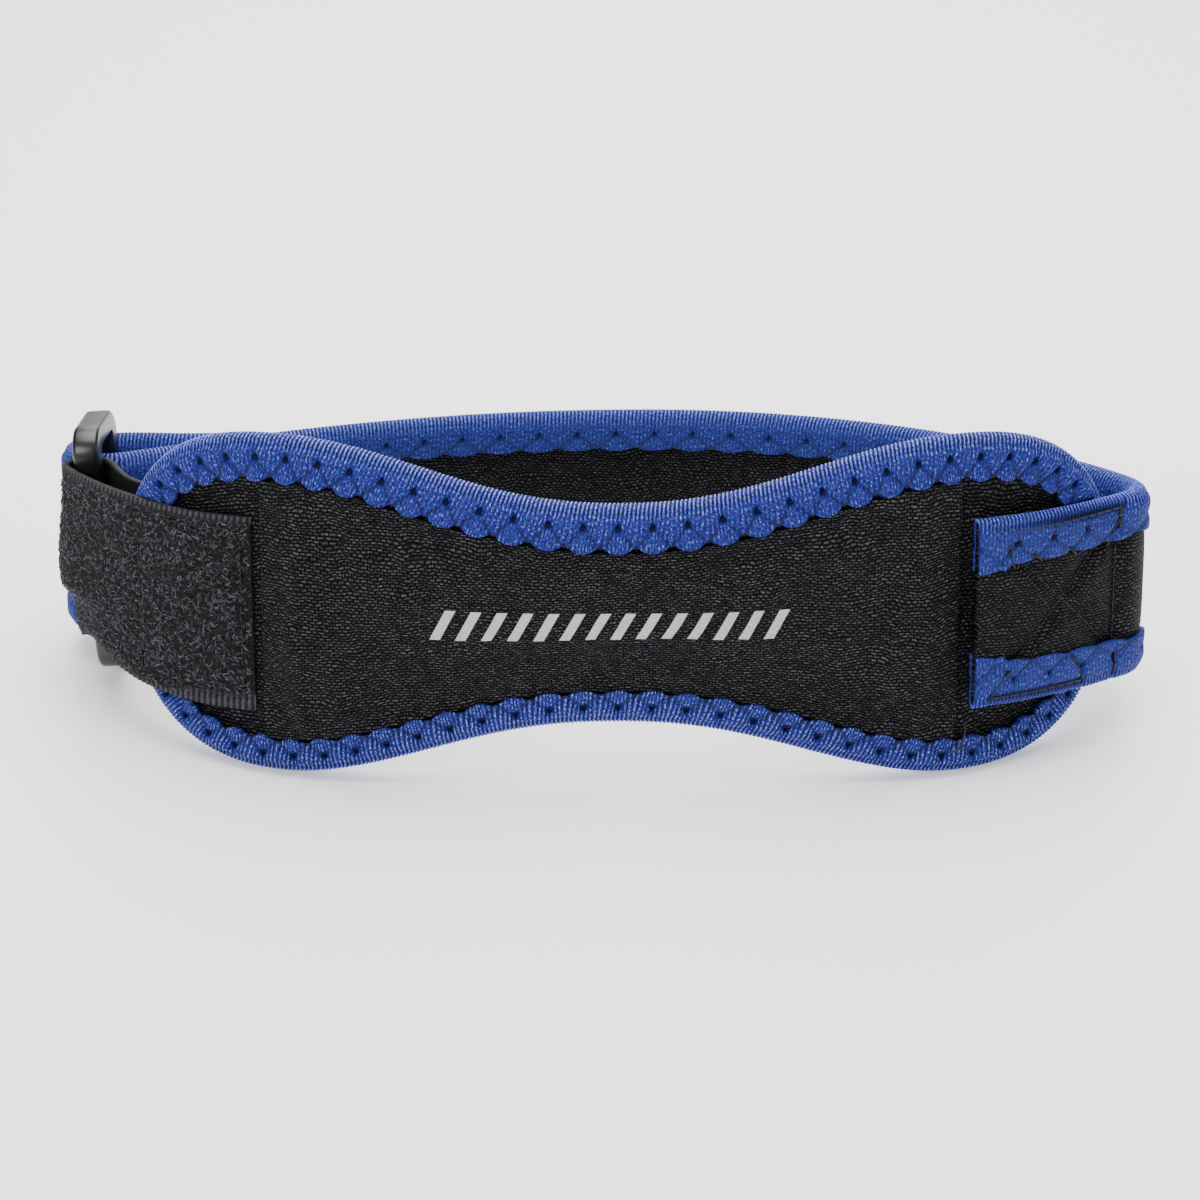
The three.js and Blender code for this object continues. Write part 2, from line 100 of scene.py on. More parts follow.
# Middle line of the panel in plan: a shallow arc, a tighter one, then straight past the tip
def panelLine(s):
    along = np.abs(s)
    shallow = np.minimum(along, panel["frontHalf"]) / panel["frontRadius"]
    tight = np.clip(along - panel["frontHalf"], 0, panel["halfLength"] - panel["frontHalf"])
    past = np.maximum(along - panel["halfLength"], 0)
    turn = shallow + tight / panel["endRadius"]
    x = panel["frontRadius"] * np.sin(shallow) + past * np.cos(turn)
    x = x + panel["endRadius"] * (np.sin(turn) - np.sin(shallow))
    y = panel["frontRadius"] * (1 - np.cos(shallow)) + past * np.sin(turn)
    y = y + panel["endRadius"] * (np.cos(shallow) - np.cos(turn)) + panel["middleY"]
    side = np.where(np.asarray(s) < 0, -1, 1)
    return side * x, y, side * turn


# A place some way to the right of a line in plan
def beside(x, y, heading, out):
    return x + np.sin(heading) * out, y - np.cos(heading) * out


# A point s along the panel, z up it and out towards the front
def panelAt(s, z, out):
    return np.stack(np.broadcast_arrays(*beside(*panelLine(s), out), z), -1)


# Half the height: cosine rise from the waist to a lobe, then a rounded tip
def panelHalf(s):
    along = np.abs(s)
    rise = (1 - np.cos(np.pi * np.minimum(along / panel["lobeAt"], 1) ** panel["waistBreadth"])) / 2
    out = np.clip((along - panel["lobeAt"]) / (panel["halfLength"] - panel["lobeAt"]), 0, 1)
    tip = (1 - out ** panel["tipRoundness"]) ** (1 / panel["tipRoundness"])
    return mix(panel["waistHeight"], panel["lobeHeight"], rise) / 2 * tip


# 1 over most of the cushion, down to 0 at its two upright seams
def cushionRise(s):
    past = np.abs(s - cushion["centre"]) - cushion["halfLength"] + cushion["endRamp"]
    return 1 - smooth(past / cushion["endRamp"])


# Offsets of the panel's front and back faces from its middle line, swelling under the cushion
def panelFaces(s, z):
    share = np.minimum(np.abs(z - panelMiddle) / np.maximum(panelHalf(s), 1), 1)
    swell = cushionRise(s) * (1 - share * share)
    half = panel["thickness"] / 2
    return half + panel["crown"] * swell, -half - panel["backCrown"] * swell


# Band: out from the panel's right end, round the back of the leg, through the ring and back on itself
band = {
    "sewnHeight": 39, "height": 38.6, "narrowsOver": 45, "coreThickness": 2.6, "centre": 32.5,
    "endAt": 68.8, "tipRun": 1, "bendRadius": 8.4, "bendTurn": 82, "backX": 6, "backY": 52,
    "bendHandle": 0.27, "backHandle": 0.4, "ringHandle": 0.3, "ringApproach": 207, "wrapTurn": 176,
    "mergeAfter": 24, "tailLength": 34, "tailFrom": 16, "tailDrop": 1.8,
    "pressedThickness": 0.9, "pressedFor": 29, "pressedRamp": 14,
    "corePuff": 0.75, "endPuff": 1.25, "puffFrom": 30, "puffRamp": 8, "puffPower": 6,
    "creaseDeep": 1.3, "creaseWidth": 2.1, "seamDeep": 0.42, "seamWidth": 0.55,
    "tackPitch": 13.6, "tackUp": 5.5, "tackDeep": 0.5, "tackWidth": 1.4, "tackFrom": 60,
    "endRun": 42, "endStep": 0.45, "columns": 320, "rows": 49, "clothHalf": 17,
}
tether = {
    "height": 40, "ringHeight": 38.2, "thickness": 1.5, "centre": 31.4, "ringCentre": 33.3,
    "frontEndAt": 71.4, "backEndAt": 86, "tipRun": 1, "reach": 17.3, "turn": 16, "handle": 0.35,
    "foldAt": 52, "runStep": 0.25, "rows": 65, "sink": 1.3, "sinkFor": 15, "stitchSunk": 0.25,
    "endPressed": 0.9, "pressedFrom": -1, "pressedRamp": 4, "seamDeep": 0.45, "seamWidth": 0.8,
    "gather": 4.0, "gatherBefore": 9, "gatherLong": 10, "gatherFrom": -0.2, "gatherOver": 0.8,
    "slackLeast": 0.2, "slack": 3.7, "slackOver": 1.15, "slackBefore": 5, "slackLong": 8,
    "tuck": 3.2, "tuckFrom": -0.25, "tuckOver": 0.25,
}
ring = {
    "bar": 5.3, "endBar": 4.6, "cornerRadius": 3.1, "heading": 86, "roll": 4.4, "centre": 33.8,
    "webbingClearance": 1.2, "bandClearance": 2.3, "slotSpare": 0.8, "endClearance": 1.1,
    "leanWhole": 10, "leanGone": 25, "edgeRound": 0.95, "cornerSteps": 15, "edgeSteps": 5,
}
tapedPanel = panel["thickness"] + 2 * skin
tapedBand = band["coreThickness"] + 2 * skin


# The standing strap leans back until lobes and band rest together; this turns and shifts points (to m)
def standingLean():
    lobeY = panelLine(panel["lobeAt"])[1]
    rearZ = band["centre"] - band["height"] / 2 + tapedBand / 2
    run = (band["backY"] - lobeY, rearZ - panel["thickness"] / 2)
    return math.atan2(run[1], run[0]) - math.asin((tapedBand - tapedPanel) / 2 / math.hypot(*run))


def leaned(points):
    x, y, z = np.moveaxis(points, -1, 0)
    lean = standingLean()
    return np.stack((x, y * math.cos(lean) + z * math.sin(lean),
                     z * math.cos(lean) - y * math.sin(lean)), -1) * mm


def standingShift():
    s = -panel["halfLength"] * np.cos(np.linspace(0, np.pi, 400))[:, None]
    z = panelMiddle + panelHalf(s) * np.linspace(-1, 1, 41)
    both = np.concatenate([leaned(panelAt(s, z, face)).reshape(-1, 3) for face in panelFaces(s, z)])
    low, high = (np.array(corner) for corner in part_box("pad_panel"))
    return (low + high - both.min(0) - both.max(0)) / 2


shift = standingShift()


def stand(points):
    return leaned(points) + shift


# Mesh of quads from arrays. cornerUv has a pair for each corner of each quad, marks values a vertex
def quadMesh(name, points, quads, cornerUv=None, marks=None):
    a, b, c, d = (points[quads[:, i]] for i in range(4))
    volume = np.einsum("ij,ij->", a, np.cross(b, c)) + np.einsum("ij,ij->", a, np.cross(c, d))
    if volume < 0:
        quads = quads[:, ::-1]
        cornerUv = None if cornerUv is None else cornerUv[:, ::-1]
    mesh = bpy.data.meshes.new(name)
    mesh.vertices.add(len(points))
    mesh.vertices.foreach_set("co", points.astype(np.float32).ravel())
    mesh.loops.add(quads.size)
    mesh.loops.foreach_set("vertex_index", quads.astype(np.int32).ravel())
    mesh.polygons.add(len(quads))
    mesh.polygons.foreach_set("loop_start", np.arange(len(quads), dtype=np.int32) * 4)
    mesh.polygons.foreach_set("use_smooth", np.ones(len(quads), dtype=bool))
    if cornerUv is not None:
        mesh.uv_layers.new(name="cloth").data.foreach_set("uv", cornerUv.astype(np.float32).ravel())
    for label, values in (marks or {}).items():
        mesh.attributes.new(label, "FLOAT", "POINT").data.foreach_set(
            "value", values.astype(np.float32).ravel())
    mesh.update(calc_edges=True)
    piece = bpy.data.objects.new(name, mesh)
    scene.collection.objects.link(piece)
    return piece


# Corner numbers of the quads between neighbouring rings of m points, closed round each ring
def ringQuads(n, m, closed):
    i, j = np.meshgrid(np.arange(n if closed else n - 1), np.arange(m), indexing="ij")
    di, dj = np.array([0, 1, 1, 0]), np.array([0, 0, 1, 1])
    i, j = i.ravel()[:, None] + di, j.ravel()[:, None] + dj
    return (i % n) * m + j % m, i, j


# Quads that close a ring of m points
def capQuads(m):
    k = np.arange(m // 2 - 1)
    return np.stack((k, k + 1, m - 2 - k, m - 1 - k), -1)


# Surface carried along a run: rings (n, m, 3) joined in order. Open ends are closed by a ladder of quads
def loft(name, rings, along, across, closed=False, marks=None):
    n, m = rings.shape[:2]
    quads, i, j = ringQuads(n, m, closed)
    uv = np.stack((along[i], np.append(across, across[0])[j]), -1)
    if not closed:
        ladder = capQuads(m)
        ends = np.concatenate((ladder, ladder[:, ::-1] + (n - 1) * m))
        endUv = np.stack((along[ends // m], across[ends % m]), -1)
        quads, uv = np.concatenate((quads, ends)), np.concatenate((uv, endUv))
    return quadMesh(name, stand(rings.reshape(-1, 3)), quads, uv, marks)


# A sheet with thickness: outer and inner surfaces (n, k, 3) that share their edges
def sheetLoft(name, outer, inner, along, across, closed=False, marks=None):
    rings = np.concatenate((outer, inner[:, ::-1]), 1)
    both = {label: np.concatenate((values, 0 * values), 1) for label, values in (marks or {}).items()}
    return loft(name, rings, along, np.concatenate((across, across[::-1])), closed, both)


# Round threads along many paths (count, n, 3) in mm, in one mesh
def threads(name, paths, radius, sides=6, tone=None):
    tangent = np.gradient(paths, axis=1)
    tangent /= np.linalg.norm(tangent, axis=-1, keepdims=True)
    one = np.cross(tangent, (0.37, 0.21, 0.9))     # a direction that no thread runs in
    one /= np.linalg.norm(one, axis=-1, keepdims=True)
    two = np.cross(tangent, one)
    turn = np.linspace(0, 2 * np.pi, sides, endpoint=False)[:, None]
    size = np.full(paths.shape[1], radius)
    size[[0, -1]] *= 0.5     # thin ends
    rings = paths[:, :, None] + size[:, None, None] * (
        one[:, :, None] * np.cos(turn) + two[:, :, None] * np.sin(turn))
    count, n = paths.shape[:2]
    quads = ringQuads(n, sides, False)[0]
    ladder = capQuads(sides)
    quads = np.concatenate((quads, ladder, ladder[:, ::-1] + (n - 1) * sides))
    every = (quads + np.arange(count)[:, None, None] * n * sides).reshape(-1, 4)
    marks = None if tone is None else {"tone": np.repeat(tone, n * sides)}
    return quadMesh(name, stand(rings.reshape(-1, 3)), every, marks=marks)


# The panel's outline as one closed run: place, and the way inwards
def panelOutline(step):
    s = -panel["halfLength"] * np.cos(np.linspace(0, np.pi, 6000))
    half = panelHalf(s)
    s = np.concatenate((s, s[-2:0:-1]))
    z = panelMiddle + np.concatenate((half, -half[-2:0:-1]))
    length = np.append(0, np.cumsum(np.hypot(np.diff(s, append=s[0]), np.diff(z, append=z[0]))))
    count = 3 * int(round(length[-1] / step / 3))
    run = np.linspace(0, length[-1], count, endpoint=False)
    s, z = np.interp(run, length, np.append(s, s[0])), np.interp(run, length, np.append(z, z[0]))
    inS = np.roll(z, -3) - np.roll(z, 3)
    inZ = np.roll(s, 3) - np.roll(s, -3)
    size = np.hypot(inS, inZ)
    return {"run": run, "total": length[-1], "step": run[1], "s": s, "z": z,
            "inS": inS / size, "inZ": inZ / size}


# Lays a fold round an edge: a half circle of radius roll, then two legs. across is measured round the
# fold from its crown, and lift stands off the outside. faces(inwards) gives both faces underneath
def foldPlace(across, lift, front, back, faces):
    roll = (front - back) / 2 + skin
    arc = roll * np.pi / 2
    angle = np.clip(across / roll, -np.pi / 2, np.pi / 2)
    straight = np.maximum(np.abs(across) - arc, 0)
    inwards = roll - skin - (roll + lift) * np.cos(angle) + straight
    legFront, legBack = faces(inwards)
    settle = smooth(straight / tape["settleOver"])
    middle = (front + back) / 2
    onFront = mix(middle + roll, legFront + skin, settle) + lift
    onBack = mix(middle - roll, legBack - skin, settle) - lift
    out = np.where(across > 0, onFront, onBack)
    return inwards, np.where(straight > 0, out, middle + (roll + lift) * np.sin(angle))


def panelTapeAt(place, across, lift):
    s, z, inS, inZ = (place[key][:, None] for key in ("s", "z", "inS", "inZ"))
    front, back = panelFaces(s, z)
    inwards, out = foldPlace(across, lift, front, back,
                             lambda i: panelFaces(s + inS * i, z + inZ * i))
    return panelAt(s + inS * inwards, z + inZ * inwards, out)


# Cubic curve between two points with headings; the handles are shares of the chord
def easing(start, end, startHandle, endHandle):
    a, d = np.array(start[:2]), np.array(end[:2])
    chord = np.linalg.norm(d - a)
    b = a + startHandle * chord * np.array((math.cos(start[2]), math.sin(start[2])))
    c = d - endHandle * chord * np.array((math.cos(end[2]), math.sin(end[2])))
    t = np.linspace(0, 1, 400)[1:, None]
    return a * (1 - t) ** 3 + 3 * b * t * (1 - t) ** 2 + 3 * c * t * t * (1 - t) + d * t ** 3


# Arc from a point with a heading, positive to the left
def turning(start, radius, turn):
    x, y, heading = start
    side = math.copysign(1, turn)
    t = heading + np.linspace(0, turn, 200)[1:]
    centre = np.array((x - side * radius * math.sin(heading), y + side * radius * math.cos(heading)))
    return centre + side * radius * np.stack((np.sin(t), -np.cos(t)), -1)


def offsetLine(s, out):
    return np.stack(beside(*panelLine(s), out), -1)


# Evenly spaced stations (x, y, heading, run) along a line in plan
def stations(line, step):
    run = np.append(0, np.cumsum(np.linalg.norm(np.diff(line, axis=0), axis=1)))
    even = np.linspace(0, run[-1], int(round(run[-1] / step)) + 1)
    x, y = np.interp(even, run, line[:, 0]), np.interp(even, run, line[:, 1])
    heading = np.unwrap(np.arctan2(np.gradient(y), np.gradient(x)))
    return {"x": x, "y": y, "heading": heading, "run": even, "total": even[-1], "step": even[1]}


def ringPlaces():
    x, y, heading = (float(v) for v in panelLine(-panel["halfLength"]))
    reachHeading = heading + math.pi - math.radians(tether["turn"])
    front = (x + tether["reach"] * math.cos(reachHeading), y + tether["reach"] * math.sin(reachHeading),
             reachHeading)
    spacing = ring["bar"] + ring["webbingClearance"] + tether["thickness"] + ring["slotSpare"]
    spacing += ring["bandClearance"] + tapedBand
    turn = math.radians(ring["heading"])
    rear = (front[0] + spacing * math.cos(turn), front[1] + spacing * math.sin(turn), turn)
    return front, rear, spacing


def bandLine():
    onPanel = tapedPanel / 2 + tape["gap"] + tapedBand / 2
    rear = ringPlaces()[1]
    end = panel["halfLength"] + band["tipRun"]
    sewn = offsetLine(np.linspace(band["endAt"], end, 300), onPanel)
    heading = float(panelLine(end)[2])
    bend = turning((*sewn[-1], heading), band["bendRadius"], math.radians(band["bendTurn"]))
    back = (band["backX"], band["backY"], math.pi)
    out = easing((*bend[-1], heading + math.radians(band["bendTurn"])), back,
                 band["bendHandle"], band["backHandle"])
    approach = math.radians(band["ringApproach"])
    wrapRadius = ring["bar"] / 2 + ring["bandClearance"] + tapedBand / 2
    wrapStart = (rear[0] - wrapRadius * math.sin(approach), rear[1] + wrapRadius * math.cos(approach),
                 approach)
    home = easing(back, wrapStart, band["backHandle"], band["ringHandle"])
    turn = math.radians(band["wrapTurn"])
    wrap = turning(wrapStart, wrapRadius, -turn)
    lying = stations(home[::-1], 0.5)
    apart = tapedBand + tape["gap"]
    outside = np.stack(beside(lying["x"], lying["y"], lying["heading"], -apart), -1)
    run = np.hypot(outside[:, 0] - wrapStart[0], outside[:, 1] - wrapStart[1])
    first = int(np.argmax(run >= band["mergeAfter"]))
    last = int(np.argmax(run >= band["tailLength"]))
    merge = easing((*wrap[-1], approach - turn), (*outside[first], lying["heading"][first]),
                   band["ringHandle"], band["ringHandle"])
    return np.concatenate((sewn, bend, out, home, wrap, merge, outside[first + 1:last + 1]))


bandPlace = stations(bandLine(), ribStep)


# Half the band's height: it narrows past the sewn end and rounds off at the tail
def bandHalf(run):
    whole = mix(band["sewnHeight"], band["height"], smooth(run / band["narrowsOver"])) / 2
    past = np.clip(1 - (bandPlace["total"] - run) / band["tailFrom"], 0, 1)
    return whole - band["tailDrop"] * past ** 2


def bandAt(place, z, out):
    x, y = beside(*(place[key][:, None] for key in ("x", "y", "heading")), out)
    return np.stack(np.broadcast_arrays(x, y, z), -1)


# Where the band is sewn down it is pressed thinner, its back staying where it is
def bandFaces(run):
    half = band["coreThickness"] / 2
    full = smooth((run - band["pressedFor"]) / band["pressedRamp"])
    return mix(band["pressedThickness"], band["coreThickness"], full)[:, None] - half, -half


def bandTapeAt(side):
    def at(place, across, lift):
        front, back = bandFaces(place["run"])
        inwards, out = foldPlace(across, lift, front, back, lambda i: (front, back))
        edge = bandHalf(place["run"])[:, None] - skin
        return bandAt(place, band["centre"] + side * (edge - inwards), out)
    return at


# A tape folded over an edge. Its stitching is a zigzag from half way down each leg to the leg's inner
# edge: the tape dips along it, puffs up between, and the free edge bows out under each dimple.
# across runs from the back leg's edge round the fold to the front leg's edge
def foldedTape(name, place, at, roll, cover, style, closed, seamDip=None):
    run, reach = place["run"][:, None], cover[:, None]
    pitch = place["total"] / round(place["total"] / style["pitch"])
    arc, foot = roll * np.pi / 2, roll - skin
    bow = style["scallop"] * (np.abs(np.cos(np.pi * run / pitch)) - tape["scallopMiddle"])
    corner = style["corner"] * (1 - smooth((run - tape["cornerFor"]) / tape["cornerRamp"]))
    edge = arc + reach - foot + bow + corner
    back = mix(-edge, -arc, np.linspace(0, 1, style["backRows"], endpoint=False))
    fold = np.linspace(-arc, arc, style["foldRows"]) + 0 * run
    front = mix(arc, edge, np.linspace(0, 1, style["frontRows"] + 1)[1:])
    across = np.concatenate((back, fold, front), 1)
    lift, ribs = tapeLift(run, across, pitch, roll, reach, place["step"], style)
    if seamDip:
        lift = lift - seamDip(run, across, foot + np.maximum(np.abs(across) - arc, 0))
    outer = at(place, across, lift + ribs)
    inner = at(place, across, np.full_like(across, -tape["thickness"]))
    # Colour marks: swell is the tape's lift plus a bump along the fold's crown that is colour only. It
    # paints shade into the grooves, dimples and valleys and a highlight on the puffs and the crown; rib
    # paints shade between the ribs and a highlight on their crests
    swell = lift + tape["foldHighlight"] * bump(across, arc * tape["foldHighlightShare"])
    along = np.append(place["run"], place["total"]) if closed else place["run"]
    piece = sheetLoft(name, outer, inner, along, across.mean(0), closed,
                      {"swell": swell, "rib": ribs / style["rib"]})
    return piece, pitch


# The zigzag on a leg: its share of the way from an upper corner to a lower one, and how far the two
# lie from the fold's crown
def zigzag(run, pitch, roll, reach, style):
    arc = roll * np.pi / 2
    share = np.abs((run / pitch + 0.5) % 1 - 0.5) * 2
    low = arc + reach - roll + skin - tape["seamInset"]
    return share, mix(arc, low, style["dimpleAt"]), low


# Height of the tape's outside over its plain form, and of its ribs, which lean as the tape is eased
# round: smooth puffs between zigzag grooves, a pit at each upper corner with a crease above it
def tapeLift(run, across, pitch, roll, reach, step, style):
    arc, leg = roll * np.pi / 2, np.abs(across)
    share, high, low = zigzag(run, pitch, roll, reach, style)
    aside = share * pitch / 2     # along the tape from the nearest upper corner
    slope = (low - high) / (pitch / 2)
    distance = np.abs(leg - mix(high, low, share)) / np.hypot(1, slope)
    onLeg = smooth((leg - arc * tape["legFrom"]) / tape["legRamp"])
    pit = bump(np.hypot(aside, leg - high), style["dimpleWidth"])
    above = bump(aside, tape["creaseWidth"]) * onLeg
    above = above * smooth((high + tape["creaseBelow"] - leg) / tape["legRamp"])
    lift = style["puff"] * (1 - bump(distance, style["groove"])) * onLeg
    lift = lift - style["dimple"] * pit - style["crease"] * above
    lift = lift - style["valley"] * bump(leg - arc * tape["valleyAt"], tape["valleyWidth"])
    fan = style["ribFan"] * (leg - arc * tape["fanFrom"]) * np.sin(2 * np.pi * run / pitch) * onLeg
    lean = style["ribSlant"] * across + fan
    ribs = style["rib"] * np.cos(2 * np.pi * (run / step / 3 + lean)) * mix(1, style["legRib"], onLeg)
    return lift, ribs


# The zigzag thread itself, lying in its groove
def zigzagPath(place, at, roll, cover, pitch, style, side):
    share, high, low = zigzag(place["run"], pitch, roll, cover, style)
    across = side * mix(high, low, share)
    deep = -style["dimple"] * bump(share * pitch / 2, style["dimpleWidth"])
    return at(place, across[:, None], (deep + style["threadUp"])[:, None])[:, 0][None]


# Shader helpers
def newMaterial(name, roughness, **sockets):
    material = bpy.data.materials.new(name)
    material.use_nodes = True
    shader = material.node_tree.nodes["Principled BSDF"]
    shader.inputs["Roughness"].default_value = roughness
    for socket, value in sockets.items():
        shader.inputs[socket.replace("_", " ")].default_value = value
    return material, material.node_tree, shader


def node(tree, kind, **values):
    made = tree.nodes.new(kind)
    for key, value in values.items():
        if hasattr(made, key):
            setattr(made, key, value)
        else:
            made.inputs[key.replace("_", " ")].default_value = value
    return made


# Links an output to a socket, or sets a plain value there
def feed(tree, value, socket):
    if isinstance(value, (int, float, tuple)):
        socket.default_value = value
    else:
        tree.links.new(value, socket)


def newGroup(name, inputs, outputs):
    group = bpy.data.node_groups.new(name, "ShaderNodeTree")
    for label, kind, value in inputs:
        socket = group.interface.new_socket(label, in_out="INPUT", socket_type="NodeSocket" + kind)
        if value is not None:
            socket.default_value = value
    for label, kind in outputs:
        group.interface.new_socket(label, in_out="OUTPUT", socket_type="NodeSocket" + kind)
    return group, group.nodes.new("NodeGroupInput"), group.nodes.new("NodeGroupOutput")


def colour(red, green, blue):
    linear = [((c / 255 + 0.055) / 1.055) ** 2.4 for c in (red, green, blue)]
    return (*linear, 1)


def calc(tree, operation, *values, clamp=False):
    made = node(tree, "ShaderNodeMath", operation=operation, use_clamp=clamp)
    for value, socket in zip(values, made.inputs):
        feed(tree, value, socket)
    return made.outputs[0]


def blendColour(tree, factor, a, b):
    made = node(tree, "ShaderNodeMix", data_type="RGBA")
    for index, value in ((0, factor), (6, a), (7, b)):
        feed(tree, value, made.inputs[index])
    return made.outputs[2]


def ranged(tree, value, start, end):
    made = node(tree, "ShaderNodeMapRange", From_Min=start, From_Max=end)
    feed(tree, value, made.inputs["Value"])
    return made.outputs[0]


def noise(tree, place, **values):
    made = node(tree, "ShaderNodeTexNoise", **values)
    feed(tree, place, made.inputs["Vector"])
    return made.outputs


# A place pushed about by a noise of the cloth's own places
def wander(tree, place, cloth, reach, **values):
    made = node(tree, "ShaderNodeVectorMath", operation="MULTIPLY_ADD")
    made.inputs[1].default_value = (reach, reach, 0)
    feed(tree, noise(tree, cloth, **values)["Color"], made.inputs[0])
    feed(tree, place, made.inputs[2])
    return made.outputs[0]


def attribute(tree, name):
    return node(tree, "ShaderNodeAttribute", attribute_name=name).outputs["Fac"]


# Knit: short bright dashes in rows, half a dash out of step, each of its own brightness, that
# wander a little. Cloth is in mm
def knitGroup():
    group, entry, leave = newGroup(
        "knitDashes", [("Cloth", "Vector", None), ("Dash", "Float", 1.35), ("Row", "Float", 0.72)],
        [("Dash mask", "Float"), ("Height", "Float")])
    cloth = bent = entry.outputs["Cloth"]
    for scale, reach in ((0.1, 3.0), (0.4, 1.0), (1.4, 0.26), (5.0, 0.14)):
        bent = wander(group, bent, cloth, reach, Scale=scale, Detail=1.0)
    brick = node(group, "ShaderNodeTexBrick", Scale=1.0, Mortar_Size=0.28, Mortar_Smooth=1.0,
                 Color1=(1, 1, 1, 1), Color2=(0.3, 0.3, 0.3, 1), Mortar=(0, 0, 0, 1))
    feed(group, bent, brick.inputs["Vector"])
    feed(group, entry.outputs["Dash"], brick.inputs["Brick Width"])
    feed(group, entry.outputs["Row"], brick.inputs["Row Height"])
    grey = node(group, "ShaderNodeRGBToBW")
    feed(group, brick.outputs["Color"], grey.inputs["Color"])
    patchy = noise(group, cloth, Scale=2.4, Detail=3.0, Roughness=0.7)["Fac"]
    uneven = calc(group, "MULTIPLY_ADD", patchy, 4.4, -1.55, clamp=True)
    raised = calc(group, "SUBTRACT", 1.0, brick.outputs["Fac"])
    thin = calc(group, "MULTIPLY", calc(group, "MULTIPLY", grey.outputs[0], raised), uneven)
    feed(group, calc(group, "MULTIPLY", thin, 1.2, clamp=True), leave.inputs["Dash mask"])
    feed(group, calc(group, "MULTIPLY_ADD", patchy, 0.5, raised), leave.inputs["Height"])
    return group


# Elastic tape between its ribs: short streaks across the tape. Cloth is in mm
def streakGroup():
    group, entry, leave = newGroup("tapeStreaks", [("Cloth", "Vector", None), ("Depth", "Float", 3.0)],
                                   [("Streak mask", "Float"), ("Height", "Float")])
    stretched = node(group, "ShaderNodeMapping", Scale=(3.2, 1.7, 1))
    feed(group, entry.outputs["Cloth"], stretched.inputs["Vector"])
    mottle = noise(group, stretched.outputs[0], Scale=1.0, Detail=4.0, Roughness=0.65)["Fac"]
    deep = calc(group, "MULTIPLY", calc(group, "SUBTRACT", mottle, 0.5), entry.outputs["Depth"])
    feed(group, calc(group, "ADD", deep, 0.5, clamp=True), leave.inputs["Streak mask"])
    feed(group, mottle, leave.inputs["Height"])
    return group


knitDashes, tapeStreaks = knitGroup(), streakGroup()


def clothUv(tree):
    return node(tree, "ShaderNodeUVMap", uv_map="cloth").outputs[0]


def useGroup(tree, group, **values):
    made = node(tree, "ShaderNodeGroup", node_tree=group)
    feed(tree, clothUv(tree), made.inputs["Cloth"])
    for key, value in values.items():
        made.inputs[key].default_value = value
    return made


def addBump(tree, shader, height, strength, distance):
    made = node(tree, "ShaderNodeBump", Strength=strength, Distance=distance)
    feed(tree, height, made.inputs["Height"])
    feed(tree, made.outputs[0], shader.inputs["Normal"])


def knitMaterial(name, dark, light, dash, row):
    material, tree, shader = newMaterial(name, 0.55, Specular_IOR_Level=0.06)
    knit = useGroup(tree, knitDashes, Dash=dash, Row=row)
    feed(tree, blendColour(tree, knit.outputs["Dash mask"], dark, light), shader.inputs["Base Color"])
    addBump(tree, shader, knit.outputs["Height"], 0.8, 0.0003)
    return material


knitLook = {"dark": colour(0, 0, 0), "light": colour(90, 90, 96), "dash": 1.25, "row": 0.58}
dashes = {"count": 14, "pitch": 4.9, "width": 2.0, "tall": 6.2, "slant": 0.5, "middle": -1.5,
          "height": 33, "blur": 0.05}


# The cushion's knit with a printed row of slanted reflective dashes across its middle
def printedKnit():
    material = knitMaterial("frontKnit", **knitLook)
    tree = material.node_tree
    shader = tree.nodes["Principled BSDF"]

    def inside(distance, size):     # 1 within half the size
        half = dashes[size] / 2
        return ranged(tree, distance, half + dashes["blur"], half - dashes["blur"])

    parts = node(tree, "ShaderNodeSeparateXYZ")
    feed(tree, clothUv(tree), parts.inputs[0])
    high = calc(tree, "SUBTRACT", parts.outputs[1], dashes["height"])
    leant = calc(tree, "MULTIPLY_ADD", high, dashes["slant"], dashes["middle"])
    run = calc(tree, "SUBTRACT", parts.outputs[0], leant)
    cell = calc(tree, "SUBTRACT", calc(tree, "FRACT", calc(tree, "DIVIDE", run, dashes["pitch"])), 0.5)
    across = calc(tree, "MULTIPLY", calc(tree, "ABSOLUTE", cell), dashes["pitch"])
    inDash = calc(tree, "MULTIPLY", inside(across, "width"), inside(calc(tree, "ABSOLUTE", high), "tall"))
    inRun = calc(tree, "LESS_THAN", calc(tree, "ABSOLUTE", run), dashes["count"] * dashes["pitch"] / 2)
    printed = calc(tree, "MULTIPLY", inDash, inRun)
    knit = shader.inputs["Base Color"].links[0].from_socket
    feed(tree, blendColour(tree, printed, knit, colour(196, 197, 198)), shader.inputs["Base Color"])
    feed(tree, calc(tree, "MULTIPLY_ADD", printed, -0.2, 0.55), shader.inputs["Roughness"])
    return material


